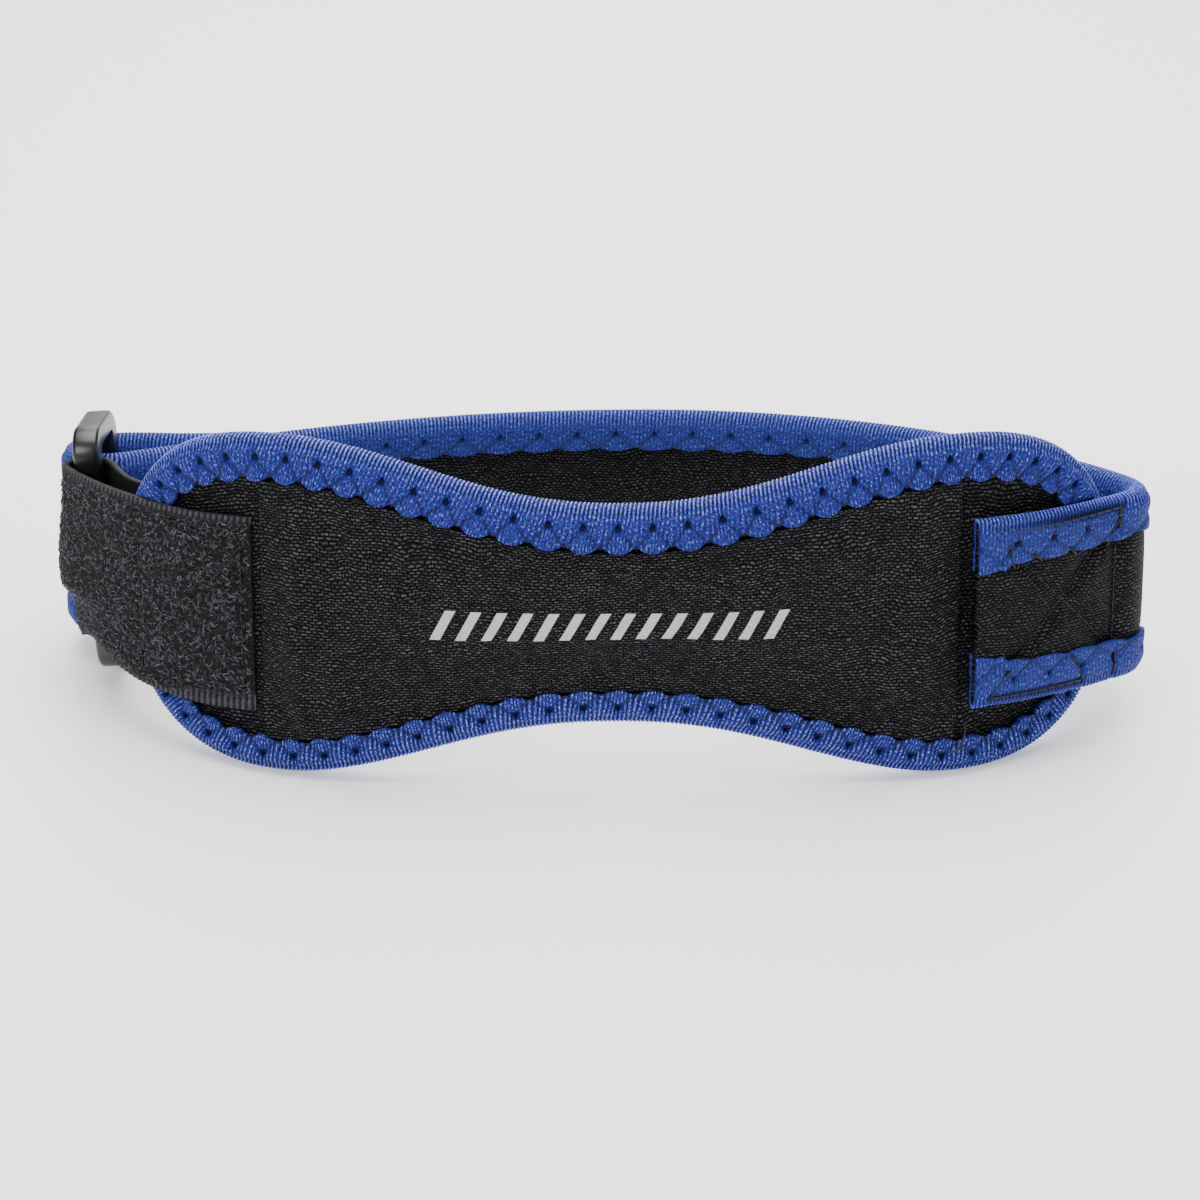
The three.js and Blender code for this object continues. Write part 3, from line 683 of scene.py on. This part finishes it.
# Blue tape: painted shade between the ribs and in the grooves, dimples and valleys, and a painted highlight
# on the rib crests, the puffs and the fold's crown. The streaks are the tape's own mottle
def tapeMaterial(name, dark, light, highlightColour, groove):
    material, tree, shader = newMaterial(name, 0.6, Specular_IOR_Level=0.1)
    streak = useGroup(tree, tapeStreaks, Depth=3.3)
    rib, swell = attribute(tree, "rib"), attribute(tree, "swell")
    # The tape's own streaky mottle, plus the rib mark, which paints shade into the troughs between the ribs
    streaked = calc(tree, "MULTIPLY_ADD", streak.outputs[0], 0.76, 0.1)
    raised = calc(tree, "MULTIPLY_ADD", rib, 0.58, streaked, clamp=True)
    # Painted highlight: the pale colour on high rib crests where the tape swells, and along the fold's crown
    highlightMask = calc(tree, "MULTIPLY", ranged(tree, raised, 0.68, 1.12), ranged(tree, swell, -0.2, 0.5))
    lit = blendColour(tree, highlightMask, blendColour(tree, raised, dark, light), highlightColour)
    # Painted shade: the groove colour laid into the zigzag grooves, dimples and valleys
    grooveShadeMask = calc(tree, "MULTIPLY", ranged(tree, swell, 0.05, -0.45), 0.9)
    feed(tree, blendColour(tree, grooveShadeMask, lit, groove), shader.inputs["Base Color"])
    addBump(tree, shader, streak.outputs["Height"], 0.9, 0.0003)
    return material


# Fleece under its pile: worm-like strands, and grey ribs at the selvedges
def fleeceMaterial():
    material, tree, shader = newMaterial("blackFleece", 0.7, Specular_IOR_Level=0.2)
    cloth = clothUv(tree)
    bent = wander(tree, cloth, cloth, 1.6, Scale=1.6, Detail=2.0)
    worm = noise(tree, bent, Scale=2.2, Detail=4.0, Distortion=1.5)["Fac"]
    strands = calc(tree, "MULTIPLY_ADD", worm, 5.0, -2.2, clamp=True)
    base = blendColour(tree, strands, colour(2, 2, 3), colour(50, 51, 56))
    feed(tree, blendColour(tree, attribute(tree, "selvedge"), base, colour(88, 89, 95)),
         shader.inputs["Base Color"])
    addBump(tree, shader, strands, 0.9, 0.0005)
    return material


def fuzzMaterial():
    material, tree, shader = newMaterial("fleeceFuzz", 0.5, Specular_IOR_Level=0.3)
    feed(tree, blendColour(tree, attribute(tree, "tone"), colour(22, 22, 26), colour(112, 113, 121)),
         shader.inputs["Base Color"])
    return material


black = {
    "front": printedKnit(),
    "knit": knitMaterial("blackKnit", **knitLook),
    "core": knitMaterial("blackLining", colour(2, 2, 3), colour(80, 80, 86), 1.1, 0.6),
    "fleece": fleeceMaterial(),
    "fuzz": fuzzMaterial(),
    "thread": newMaterial("blackThread", 0.5, Base_Color=colour(9, 9, 11))[0],
    "plastic": newMaterial("blackPlastic", 0.32, Base_Color=colour(10, 10, 12), Specular_IOR_Level=0.6)[0],
}
blue = {
    # Each tape: dark (between the ribs, partly painted shade and partly the tape's own mottle), light, a
    # pale painted highlight colour, and a near-black painted shade colour for the grooves and dimples
    "panel": tapeMaterial("blueTape", colour(0, 0, 40), colour(54, 66, 172), colour(176, 194, 255),
                          colour(0, 0, 22)),
    "band": tapeMaterial("blueTapeBand", colour(0, 4, 56), colour(58, 72, 164), colour(140, 158, 250),
                         colour(0, 1, 30)),
    "thread": newMaterial("navyThread", 0.5, Base_Color=colour(4, 8, 34))[0],
}


def finish(piece, material, slotName, *nodes):
    piece.data.materials.append(material)
    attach(piece, "root")
    if nodes:
        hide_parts(*nodes)
    return piece


print("stage: materials")


# Panel body, seen only between the cushion, the tape and the strips
def makePanel():
    s = -panel["halfLength"] * np.cos(np.linspace(0, np.pi, panel["columns"]))[:, None]
    share = np.sin(np.linspace(-1, 1, panel["rows"]) * np.pi / 2)
    z = panelMiddle + panelHalf(s) * share
    front, back = panelFaces(s, z)
    return sheetLoft("padPanelBody", panelAt(s, z, front), panelAt(s, z, back), s[:, 0],
                     panel["clothHalf"] * share)


# Cushion: crowned over the panel between two upright seams, its ends ramped down to them.
# It starts a little low, is blown up as cloth held at its border, and the moves are capped
def cushionGrid(columns, rows):
    s = cushion["centre"] + cushion["halfLength"] * np.linspace(-1, 1, columns)[:, None]
    slope = panelHalf(s + 0.5) - panelHalf(s - 0.5)
    reach = np.hypot(1, slope)
    share = np.sin(np.linspace(-1, 1, rows) * np.pi / 2)
    top = panelHalf(s) - (tape["coverAbove"] + cushion["edgeGap"]) * reach
    foot = panelHalf(s) - (tape["coverBelow"] + cushion["edgeGap"]) * reach
    z = panelMiddle + np.where(share > 0, top, foot) * share
    swell = cushionRise(s) * (1 - share * share)
    under = panelFaces(s, z)[0] + tape["gap"]
    return s, z, under, mix(cushion["edgeThickness"], cushion["thickness"], swell), share


def makeCushion():
    s, z, under, thickness, share = cushionGrid(cushion["columns"], cushion["rows"])
    over = panelAt(s, z, under + thickness)
    bent = z - cushion["rowBend"] * (panelHalf(s) - cushion["bendFrom"]) * share
    cloth = np.stack(np.broadcast_arrays(s, bent), -1)
    piece = sheetLoft("frontCushionPad", over, panelAt(s, z, under), s[:, 0], share)
    uv = np.concatenate((cloth, cloth[:, ::-1]), 1).reshape(-1, 2)
    corners = np.empty(len(piece.data.loops), dtype=np.int32)
    piece.data.loops.foreach_get("vertex_index", corners)
    piece.data.uv_layers["cloth"].data.foreach_set("uv", uv[corners].astype(np.float32).ravel())
    blowUp(piece, over.shape)
    finer = piece.modifiers.new("finer", "SUBSURF")
    finer.levels = finer.render_levels = 1
    return piece


# Cloth under pressure with its back and border held. Each point moves the capped distance at most
def blowUp(piece, size):
    columns, rows = size[:2]
    i, j = np.divmod(np.arange(columns * rows * 2), rows * 2)
    held = (j >= rows - 1) | (j == 0) | (i == 0) | (i == columns - 1)
    piece.vertex_groups.new(name="held").add(np.flatnonzero(held).tolist(), 1.0, "REPLACE")
    before = np.empty(len(i) * 3, dtype=np.float32)
    piece.data.vertices.foreach_get("co", before)
    cloth = piece.modifiers.new("cloth", "CLOTH")
    cloth.settings.vertex_group_mass = "held"
    cloth.settings.use_pressure = True
    cloth.settings.uniform_pressure_force = cushion["pressure"]
    cloth.settings.effector_weights.gravity = 0
    cloth.settings.shrink_min = cushion["slack"]
    cloth.point_cache.frame_end = cushion["frames"]
    for count in range(1, cushion["frames"] + 1):
        scene.frame_set(count)
    blown = piece.evaluated_get(bpy.context.evaluated_depsgraph_get()).to_mesh()
    after = np.empty_like(before)
    blown.vertices.foreach_get("co", after)
    piece.modifiers.remove(cloth)
    scene.frame_set(1)
    moves = (after - before).reshape(-1, 3)
    far = np.linalg.norm(moves, axis=1, keepdims=True)
    cap = cushion["cap"] * mm
    moves = moves * (cap * np.tanh(far / cap) / np.maximum(far, 1e-9))
    print(f"cushion blown up, most {far.max() / mm:.2f} mm before the cap")
    piece.data.vertices.foreach_set("co", before + moves.astype(np.float32).ravel())
    piece.data.update()


# Seam lines from one (run, height from the middle) to another, on the band's sewn end and the webbing
bandEndCreases = (((8, 11.5), (32, -11)), ((29, 11.5), (8, -11.5)), ((33.4, 12), (33.4, -12)))
bandEndSeams = (
    ((3.4, 16.4), (33.4, 17.2)), ((6.2, 14.6), (33.4, 15.8)), ((6.2, 14.6), (7.6, 9)),
    ((33.4, 17.6), (33.4, 12.6)), ((34.4, 17), (30, 9.6)), ((12, 11.6), (14, 9.6)),
    ((20.4, 11.4), (22.4, 9.4)), ((8, -11.6), (3.2, -17.2)), ((3.2, -17.4), (24.8, -17)),
    ((22, -11.4), (25.4, -17.4)), ((33.4, -12.6), (33.4, -17.4)),
)
tetherSeams = (((2.2, 17.6), (2.2, -17.6)), ((2.2, 14), (12, 2)), ((2.2, 17.4), (26, 17.2)),
               ((2.2, -17.2), (26, -16.8)), ((26, 17.2), (26, -16.8)))


# 1 on a seam line and 0 away from it
def nearSeams(run, up, seams, width):
    near = np.zeros(np.broadcast(run, up).shape)
    for (runA, upA), (runB, upB) in seams:
        far, high = runB - runA, upB - upA
        t = np.clip(((run - runA) * far + (up - upA) * high) / math.hypot(far, high) ** 2, 0, 1)
        near = np.maximum(near, bump(np.hypot(run - runA - t * far, up - upA - t * high), width))
    return near


# Stations of a strip at any runs
def along(place, run):
    return {key: np.interp(run, place["run"], place[key]) for key in ("x", "y", "heading")} | {"run": run}


# Core of the band: full between its tapes, creased where it is sewn down, and tacked behind
def makeBandCore():
    share = np.linspace(-1, 1, band["rows"])
    runs = np.append(np.arange(0, band["endRun"], band["endStep"]),
                     np.linspace(band["endRun"], bandPlace["total"], band["columns"]))
    place = along(bandPlace, runs)
    front, back = bandFaces(runs)
    up = (bandHalf(runs) - skin)[:, None] * share
    dip = band["creaseDeep"] * nearSeams(runs[:, None], up, bandEndCreases, band["creaseWidth"])
    between = bandHalf(runs)[:, None] - tape["coverBehind"]
    full = mix(band["endPuff"], band["corePuff"], smooth((runs - band["puffFrom"]) / band["puffRamp"]))
    puff = full[:, None] * (1 - np.minimum(np.abs(up) / between, 1) ** band["puffPower"])
    tack = ((runs[:, None] / band["tackPitch"]) % 1 - 0.5) * band["tackPitch"]
    tacks = band["tackDeep"] * bump(np.hypot(tack, up - band["tackUp"]), band["tackWidth"])
    tacks = tacks * (runs[:, None] > band["tackFrom"])
    z = band["centre"] + up
    return sheetLoft("bandCoreCloth", bandAt(place, z, front + puff - dip), bandAt(place, z, back + tacks),
                     runs, band["clothHalf"] * share)


# Webbing: sewn on the panel's front, folded round the ring's front bar, and back behind the tip
def tetherLine():
    onPanel = tapedPanel / 2 + tape["gap"] + tether["thickness"] / 2
    tipAt = panel["halfLength"] + tether["tipRun"]
    radius = ring["bar"] / 2 + ring["webbingClearance"] + tether["thickness"] / 2
    front = ringPlaces()[0]
    heading = float(panelLine(-tipAt)[2]) + math.pi
    outwards = offsetLine(np.linspace(-tether["frontEndAt"], -tipAt, 300), onPanel)
    homewards = offsetLine(np.linspace(-tipAt, -tether["backEndAt"], 200), -onPanel)
    start = (front[0] - radius * math.sin(front[2]), front[1] + radius * math.cos(front[2]), front[2])
    toRing = easing((*outwards[-1], heading), start, tether["handle"], tether["handle"])
    wrap = turning(start, radius, -math.pi)
    home = easing((*wrap[-1], front[2] - math.pi), (*homewards[0], heading - math.pi), tether["handle"],
                  tether["handle"])
    return np.concatenate((outwards, toRing, wrap, home, homewards[1:]))


tetherPlace = stations(tetherLine(), tether["runStep"])


# Points of the webbing: rows from -1 at its foot to 1, out from its middle to the left of its run. It
# sinks onto the panel at its sewn end, leans with the ring, bulges slack round it, and its foot is
# gathered up and tucked in at the fold
def tetherAt(place, rows, out):
    front, rear = ringPlaces()[:2]
    sewnX, sewnY = (float(v) for v in panelLine(-tether["frontEndAt"])[:2])
    whole = math.hypot(front[0] - sewnX, front[1] - sewnY)
    share = smooth(np.hypot(place["x"] - sewnX, place["y"] - sewnY) / whole)[:, None]
    half = mix(tether["height"], tether["ringHeight"], share) / 2
    z = mix(tether["centre"], tether["ringCentre"], share) + half * rows
    run = place["run"][:, None]
    gather = tether["gather"] * bump(run - tether["foldAt"] + tether["gatherBefore"], tether["gatherLong"])
    z = z + gather * smooth((tether["gatherFrom"] - rows) / tether["gatherOver"])
    points = bandAt(place, z, tether["sink"] * (1 - smooth(run / tether["sinkFor"])) - out)
    away = np.hypot(points[..., 0] - (front[0] + rear[0]) / 2, points[..., 1] - (front[1] + rear[1]) / 2)
    lean = 1 - smooth((away - ring["leanWhole"]) / (ring["leanGone"] - ring["leanWhole"]))
    points[..., 0] -= lean * math.tan(math.radians(ring["roll"])) * (z - ring["centre"])
    slack = tether["slackLeast"] + tether["slack"] * smooth((1 - rows) / tether["slackOver"])
    slack = slack - tether["tuck"] * smooth((tether["tuckFrom"] - rows) / tether["tuckOver"])
    points[..., 0] -= slack * bump(run - tether["foldAt"] + tether["slackBefore"], tether["slackLong"])
    return points


pile = {
    "count": 6600, "from": 0.4, "to": 66, "length": 1.05, "shortest": 0.6, "longest": 1.3,
    "height": 0.4, "lowest": 0.05, "radius": 0.085, "curl": 1.8, "spill": 0.3, "seamDeep": 0.5,
    "selvedge": 1.4, "selvedgeRamp": 0.6, "selvedgeRib": 1.25, "selvedgeDeep": 0.3, "ribDeep": 0.15,
    "wornFoot": 2.2, "wornFor": 10,
}


# How far the pile is worn off the webbing's foot, near its sewn end
def wornFoot(run):
    return pile["wornFoot"] * (1 - smooth((run - pile["wornFor"]) / pile["wornFor"]))


# The webbing dips along its seams and its ribbed selvedges are thinner than the pile
def makeTether():
    rows = np.linspace(-1, 1, tether["rows"])
    up = rows * tether["height"] / 2
    run = tetherPlace["run"][:, None]
    thick = tether["thickness"] / 2
    dip = tether["seamDeep"] * nearSeams(run, up, tetherSeams, tether["seamWidth"])
    bare = np.abs(up) + pile["selvedge"] + wornFoot(run) * (up < 0) - tether["height"] / 2
    selvedge = smooth(bare / pile["selvedgeRamp"])
    ribs = np.cos(2 * np.pi * run / pile["selvedgeRib"])
    dip = dip + selvedge * (pile["selvedgeDeep"] - pile["ribDeep"] * ribs)
    pressed = 1 - smooth((run - tether["pressedFrom"]) / tether["pressedRamp"])
    dip = dip + tether["endPressed"] * pressed
    return sheetLoft("fleeceWebbing", tetherAt(tetherPlace, rows, thick - dip),
                     tetherAt(tetherPlace, rows, -thick), tetherPlace["run"], up,
                     marks={"selvedge": selvedge * (0.5 + 0.5 * ribs)})


# Pile: short curled hairs scattered over the webbing, each a bent arch of its own tone. Seeded, so it
# never changes
def makePile():
    draw = np.random.default_rng(8)
    count, t = pile["count"], np.linspace(0, 1, 4)
    run = draw.uniform(pile["from"], pile["to"], count)[:, None]
    top = tether["height"] / 2 - pile["selvedge"]
    foot = -top + wornFoot(run)
    up = mix(foot, top, draw.uniform(0, 1, count)[:, None])
    turn = draw.uniform(0, 2 * np.pi, count)[:, None]
    turn = turn + draw.uniform(-pile["curl"], pile["curl"], count)[:, None] * t
    length = draw.uniform(pile["shortest"], pile["longest"], count)[:, None] * pile["length"]
    run = run + np.cumsum(np.cos(turn) * length / 3, 1)
    up = up + np.cumsum(np.sin(turn) * length / 3, 1)
    up = np.clip(up, foot - pile["spill"], top + pile["spill"])
    arch = draw.uniform(pile["lowest"], 1, count)[:, None] * pile["height"] * np.sin(
        np.pi * (0.1 + 0.8 * t))
    out = tether["thickness"] / 2 + arch
    out = out - pile["seamDeep"] * nearSeams(run, up, tetherSeams, tether["seamWidth"])
    points = tetherAt(along(tetherPlace, run.ravel()), up.ravel()[:, None] / (tether["height"] / 2),
                      out.ravel()[:, None])
    return threads("fleecePile", points.reshape(count, len(t), 3), pile["radius"], 4,
                   draw.uniform(0, 1, count) ** 2)


# Short stitches along seam lines: each rises out of the cloth and dives back. at(run, up, lift) places
stitch = {"gap": 0.06, "points": 7, "rise": 0.16, "dive": 0.1, "proud": 0.05}


def seamStitches(name, slotName, seams, at, pitch, radius):
    t = np.linspace(stitch["gap"], 1 - stitch["gap"], stitch["points"])
    paths = []
    for (runA, upA), (runB, upB) in seams:
        count = max(int(round(math.hypot(runB - runA, upB - upA) / pitch)), 1)
        share = (np.arange(count)[:, None] + t) / count
        lift = np.broadcast_to(stitch["rise"] * np.sin(np.pi * t) - stitch["dive"], share.shape)
        points = at(mix(runA, runB, share).ravel(), mix(upA, upB, share).ravel(), lift.ravel())
        paths.append(points.reshape(count, len(t), 3))
    return finish(threads(name, np.concatenate(paths), radius), black["thread"], slotName)


# Places on the band's front, so far over its face
def onBand(over):
    def at(run, up, lift):
        out = bandFaces(run)[0][:, 0] + over + lift
        return bandAt(along(bandPlace, run), band["centre"] + up[:, None], out[:, None])[:, 0]
    return at


def onWebbing(run, up, lift):
    return tetherAt(along(tetherPlace, run), up[:, None] / (tether["height"] / 2),
                    (tether["thickness"] / 2 - tether["stitchSunk"] + lift)[:, None])[:, 0]


# Rectangle with round corners: both places and the angle outwards, going round
def roundBox(halfWide, halfTall, radius, steps):
    angle = np.linspace(0, np.pi / 2, steps) + np.arange(4)[:, None] * np.pi / 2
    sideX, sideY = np.array(((1, -1, -1, 1), (1, 1, -1, -1)))[:, :, None]
    x = sideX * (halfWide - radius) + radius * np.cos(angle)
    y = sideY * (halfTall - radius) + radius * np.sin(angle)
    return x.ravel(), y.ravel(), angle.ravel()


# Ring: a rounded square section carried round a rectangle with round corners
def makeRing():
    front, rear, spacing = ringPlaces()
    halfTall = tether["height"] / 2 + ring["endClearance"] + ring["endBar"] / 2
    w, z, angle = (part[:, None] for part in roundBox(
        spacing / 2, halfTall, ring["cornerRadius"], ring["cornerSteps"]))
    outwards, through = roundBox(ring["bar"] / 2, ring["bar"] / 2, ring["edgeRound"], ring["edgeSteps"])[:2]
    thin = mix(ring["endBar"] / ring["bar"], 1, np.abs(np.cos(angle)))
    wide = w + outwards * thin * np.cos(angle)
    up = z + outwards * thin * np.sin(angle)
    across = through + 0 * wide
    roll, heading = math.radians(ring["roll"]), math.radians(ring["heading"] - 90)
    leanX = across * math.cos(roll) - up * math.sin(roll)
    leanZ = across * math.sin(roll) + up * math.cos(roll)
    x = leanX * math.cos(heading) - wide * math.sin(heading) + (front[0] + rear[0]) / 2
    y = leanX * math.sin(heading) + wide * math.cos(heading) + (front[1] + rear[1]) / 2
    points = np.stack((x, y, leanZ + ring["centre"]), -1)
    return loft("ringBuckleLoop", points, np.arange(len(points) + 1.0), np.arange(points.shape[1] + 0.0),
                True)


panelPiece = finish(makePanel(), black["knit"], "black_neoprene", "pad_panel")
cushionPiece = finish(makeCushion(), black["front"], "black_neoprene", "front_cushion")
print("stage: panel and cushion")

edgePlace = panelOutline(ribStep)
uprightTop = smooth((1 - edgePlace["inZ"]) / 2)[:, None]     # 1 on the upper edge, 0 on the lower
edgeStyle = {
    "pitch": 6.5, "scallop": 1.3, "dimpleAt": 0.3, "dimpleWidth": 0.75, "puff": 0.8, "groove": 0.9,
    "dimple": 0.8, "rib": 0.19, "legRib": mix(0.55, 0.25, uprightTop), "ribSlant": 0.16,
    "ribFan": 0.1, "crease": 0.3, "valley": 0.35, "corner": 0, "threadUp": 0.06, "thread": 0.13,
    "backRows": 4, "foldRows": 9, "frontRows": 12,
}
panelRoll = tapedPanel / 2
edgeCover = mix(tape["coverAbove"], tape["coverBelow"], smooth((1 + edgePlace["inZ"]) / 2))
edgePiece, edgePitch = foldedTape("padEdgeTapeFold", edgePlace, panelTapeAt, panelRoll, edgeCover,
                                  edgeStyle, True)
finish(edgePiece, blue["panel"], "blue_tape", "pad_edge_tape")
edgePath = zigzagPath(edgePlace, panelTapeAt, panelRoll, edgeCover, edgePitch, edgeStyle, 1)
edgeStitches = finish(threads("padEdgeStitches", edgePath, edgeStyle["thread"]), blue["thread"], "blue_tape")
print("stage: edge tape")

bandStyle = {
    "pitch": 8.3, "scallop": 0.6, "dimpleAt": 0.45, "dimpleWidth": 0.7, "puff": 0.45, "groove": 0.6,
    "dimple": 0.55, "rib": 0.1, "legRib": 0.2, "ribSlant": 0.08, "ribFan": 0.05, "crease": 0.2,
    "valley": 0.25, "corner": 1.4, "threadUp": 0.05, "thread": 0.12,
    "backRows": 8, "foldRows": 9, "frontRows": 8,
}
bandRoll = tapedBand / 2
bandCover = mix(tape["coverBand"], tape["coverBehind"], smooth(bandPlace["run"] / band["narrowsOver"]))


# One of the band's tapes, its front leg dipping under the seams of the sewn end, and its threads
def makeBandTape(name, side, cadNode):
    at = bandTapeAt(side)

    def seamDip(run, across, inwards):
        up = side * (bandHalf(run) - skin - inwards)
        return band["seamDeep"] * nearSeams(run, up, bandEndSeams, band["seamWidth"]) * (across > 0)

    piece, pitch = foldedTape(name, bandPlace, at, bandRoll, bandCover, bandStyle, False, seamDip)
    finish(piece, blue["band"], "blue_tape", cadNode)
    stitches = []
    for face, label in ((1, "Outside"), (-1, "Inside")):
        path = zigzagPath(bandPlace, at, bandRoll, bandCover, pitch, bandStyle, face)
        thread = threads(name + label + "Stitches", path, bandStyle["thread"])
        stitches.append(finish(thread, blue["thread"], "blue_tape"))
    return piece, stitches


bandTapes = [makeBandTape("bandUpperFold", 1, "band_upper_tape"),
             makeBandTape("bandLowerFold", -1, "band_lower_tape")]
corePiece = finish(makeBandCore(), black["core"], "black_neoprene", "band_core")
tetherPiece = finish(makeTether(), black["fleece"], "black_fleece", "fleece_tether")
webbingPieces = (
    finish(makePile(), black["fuzz"], "black_fleece"),
    seamStitches("webbingSeams", "black_fleece", tetherSeams, onWebbing, pitch=2.2, radius=0.16))
creaseFoot = band["endPuff"] - band["creaseDeep"] + stitch["proud"]     # over the band's face
coreSeams = seamStitches("bandEndCoreSeams", "black_neoprene", bandEndCreases, onBand(creaseFoot),
                         pitch=2.4, radius=0.12)
tapeSeams = seamStitches("bandEndTapeSeams", "blue_tape", bandEndSeams, onBand(skin),
                         pitch=2.2, radius=0.2)
bandTapes[0][1].append(tapeSeams)
ringPiece = finish(makeRing(), black["plastic"], "black_plastic", "ring_buckle")

loose = {
    "from": 67.9, "to": 65.6, "bow": 1.5, "flick": 1.6, "flickFrom": 0.7, "flickOver": 0.3,
    "top": 10.2, "foot": 4.4, "drop": 1.15, "out": 2.6, "overTape": 2.2, "rise": 3,
    "points": 40, "radius": 0.17,
}


# The loose end of the cushion's right seam: down over the lower tape, with a flick at its end
def makeLooseThread():
    t = np.linspace(0, 1, loose["points"])
    s = mix(loose["from"], loose["to"], t ** loose["bow"])
    s = s - loose["flick"] * smooth((t - loose["flickFrom"]) / loose["flickOver"])
    z = mix(loose["top"], loose["foot"], smooth(t * loose["drop"]))
    out = loose["out"] + loose["overTape"] * smooth(t * loose["rise"])
    return threads("looseThread", panelAt(s, z, out)[None], loose["radius"])


finish(makeLooseThread(), black["thread"], "black_neoprene")
print("stage: band, webbing and ring")

# Floor, lights and camera
studio = {"floor": 0.97, "floorGlow": 0.4, "floorSize": 6, "floorBelow": 0.0006, "world": 0.24,
          "aim": (0, 0, 0.03)}
low, high = (np.array(corner) for corner in cadBox)
floorMaterial = newMaterial("paleFloor", 0.55, Base_Color=(*[studio["floor"]] * 3, 1),
                            Emission_Color=(1, 1, 1, 1), Emission_Strength=studio["floorGlow"])[0]
bpy.ops.mesh.primitive_plane_add(size=studio["floorSize"], location=(0, 0, low[2] - studio["floorBelow"]))
floor = bpy.context.object
floor.name = "floor"
floor.data.materials.append(floorMaterial)

world = bpy.data.worlds.new("studio")
scene.world = world
world.use_nodes = True
background = world.node_tree.nodes["Background"]
background.inputs["Color"].default_value = (1, 1, 1, 1)
background.inputs["Strength"].default_value = studio["world"]


# A soft square light that points at the middle of the strap
def softLight(name, place, size, power):
    light = bpy.data.lights.new(name, "AREA")
    light.shape, light.size, light.energy = "SQUARE", size, power
    lamp = bpy.data.objects.new(name, light)
    scene.collection.objects.link(lamp)
    lamp.location = place
    aim = Vector(studio["aim"]) - Vector(place)
    lamp.rotation_euler = aim.to_track_quat("-Z", "Y").to_euler()


softLight("overhead", (0, 0.15, 0.9), 0.9, 20)
softLight("behind", (0.1, 1.5, 0.95), 1.3, 22)
softLight("keyLeft", (-0.6, -0.8, 0.6), 0.4, 5)
softLight("fillRight", (0.9, -0.5, 0.5), 0.7, 2)

lens = {"elevation": 29, "distance": 0.8, "pixels": 3941, "image": 1200, "sensor": 36,
        "middle": (597, 524)}
camera = bpy.data.cameras.new("camera")
camera.sensor_width = lens["sensor"]
camera.lens = lens["pixels"] / lens["image"] * lens["sensor"]
camera.shift_x = (lens["image"] / 2 - lens["middle"][0]) / lens["image"]
camera.shift_y = (lens["middle"][1] - lens["image"] / 2) / lens["image"]
view = bpy.data.objects.new("camera", camera)
scene.collection.objects.link(view)
target = Vector((low + high) / 2)
up = math.radians(lens["elevation"])
view.location = target + Vector((0, -math.cos(up), math.sin(up))) * lens["distance"]
view.rotation_euler = (target - view.location).to_track_quat("-Z", "Y").to_euler()
scene.camera = view

print("stage: done")
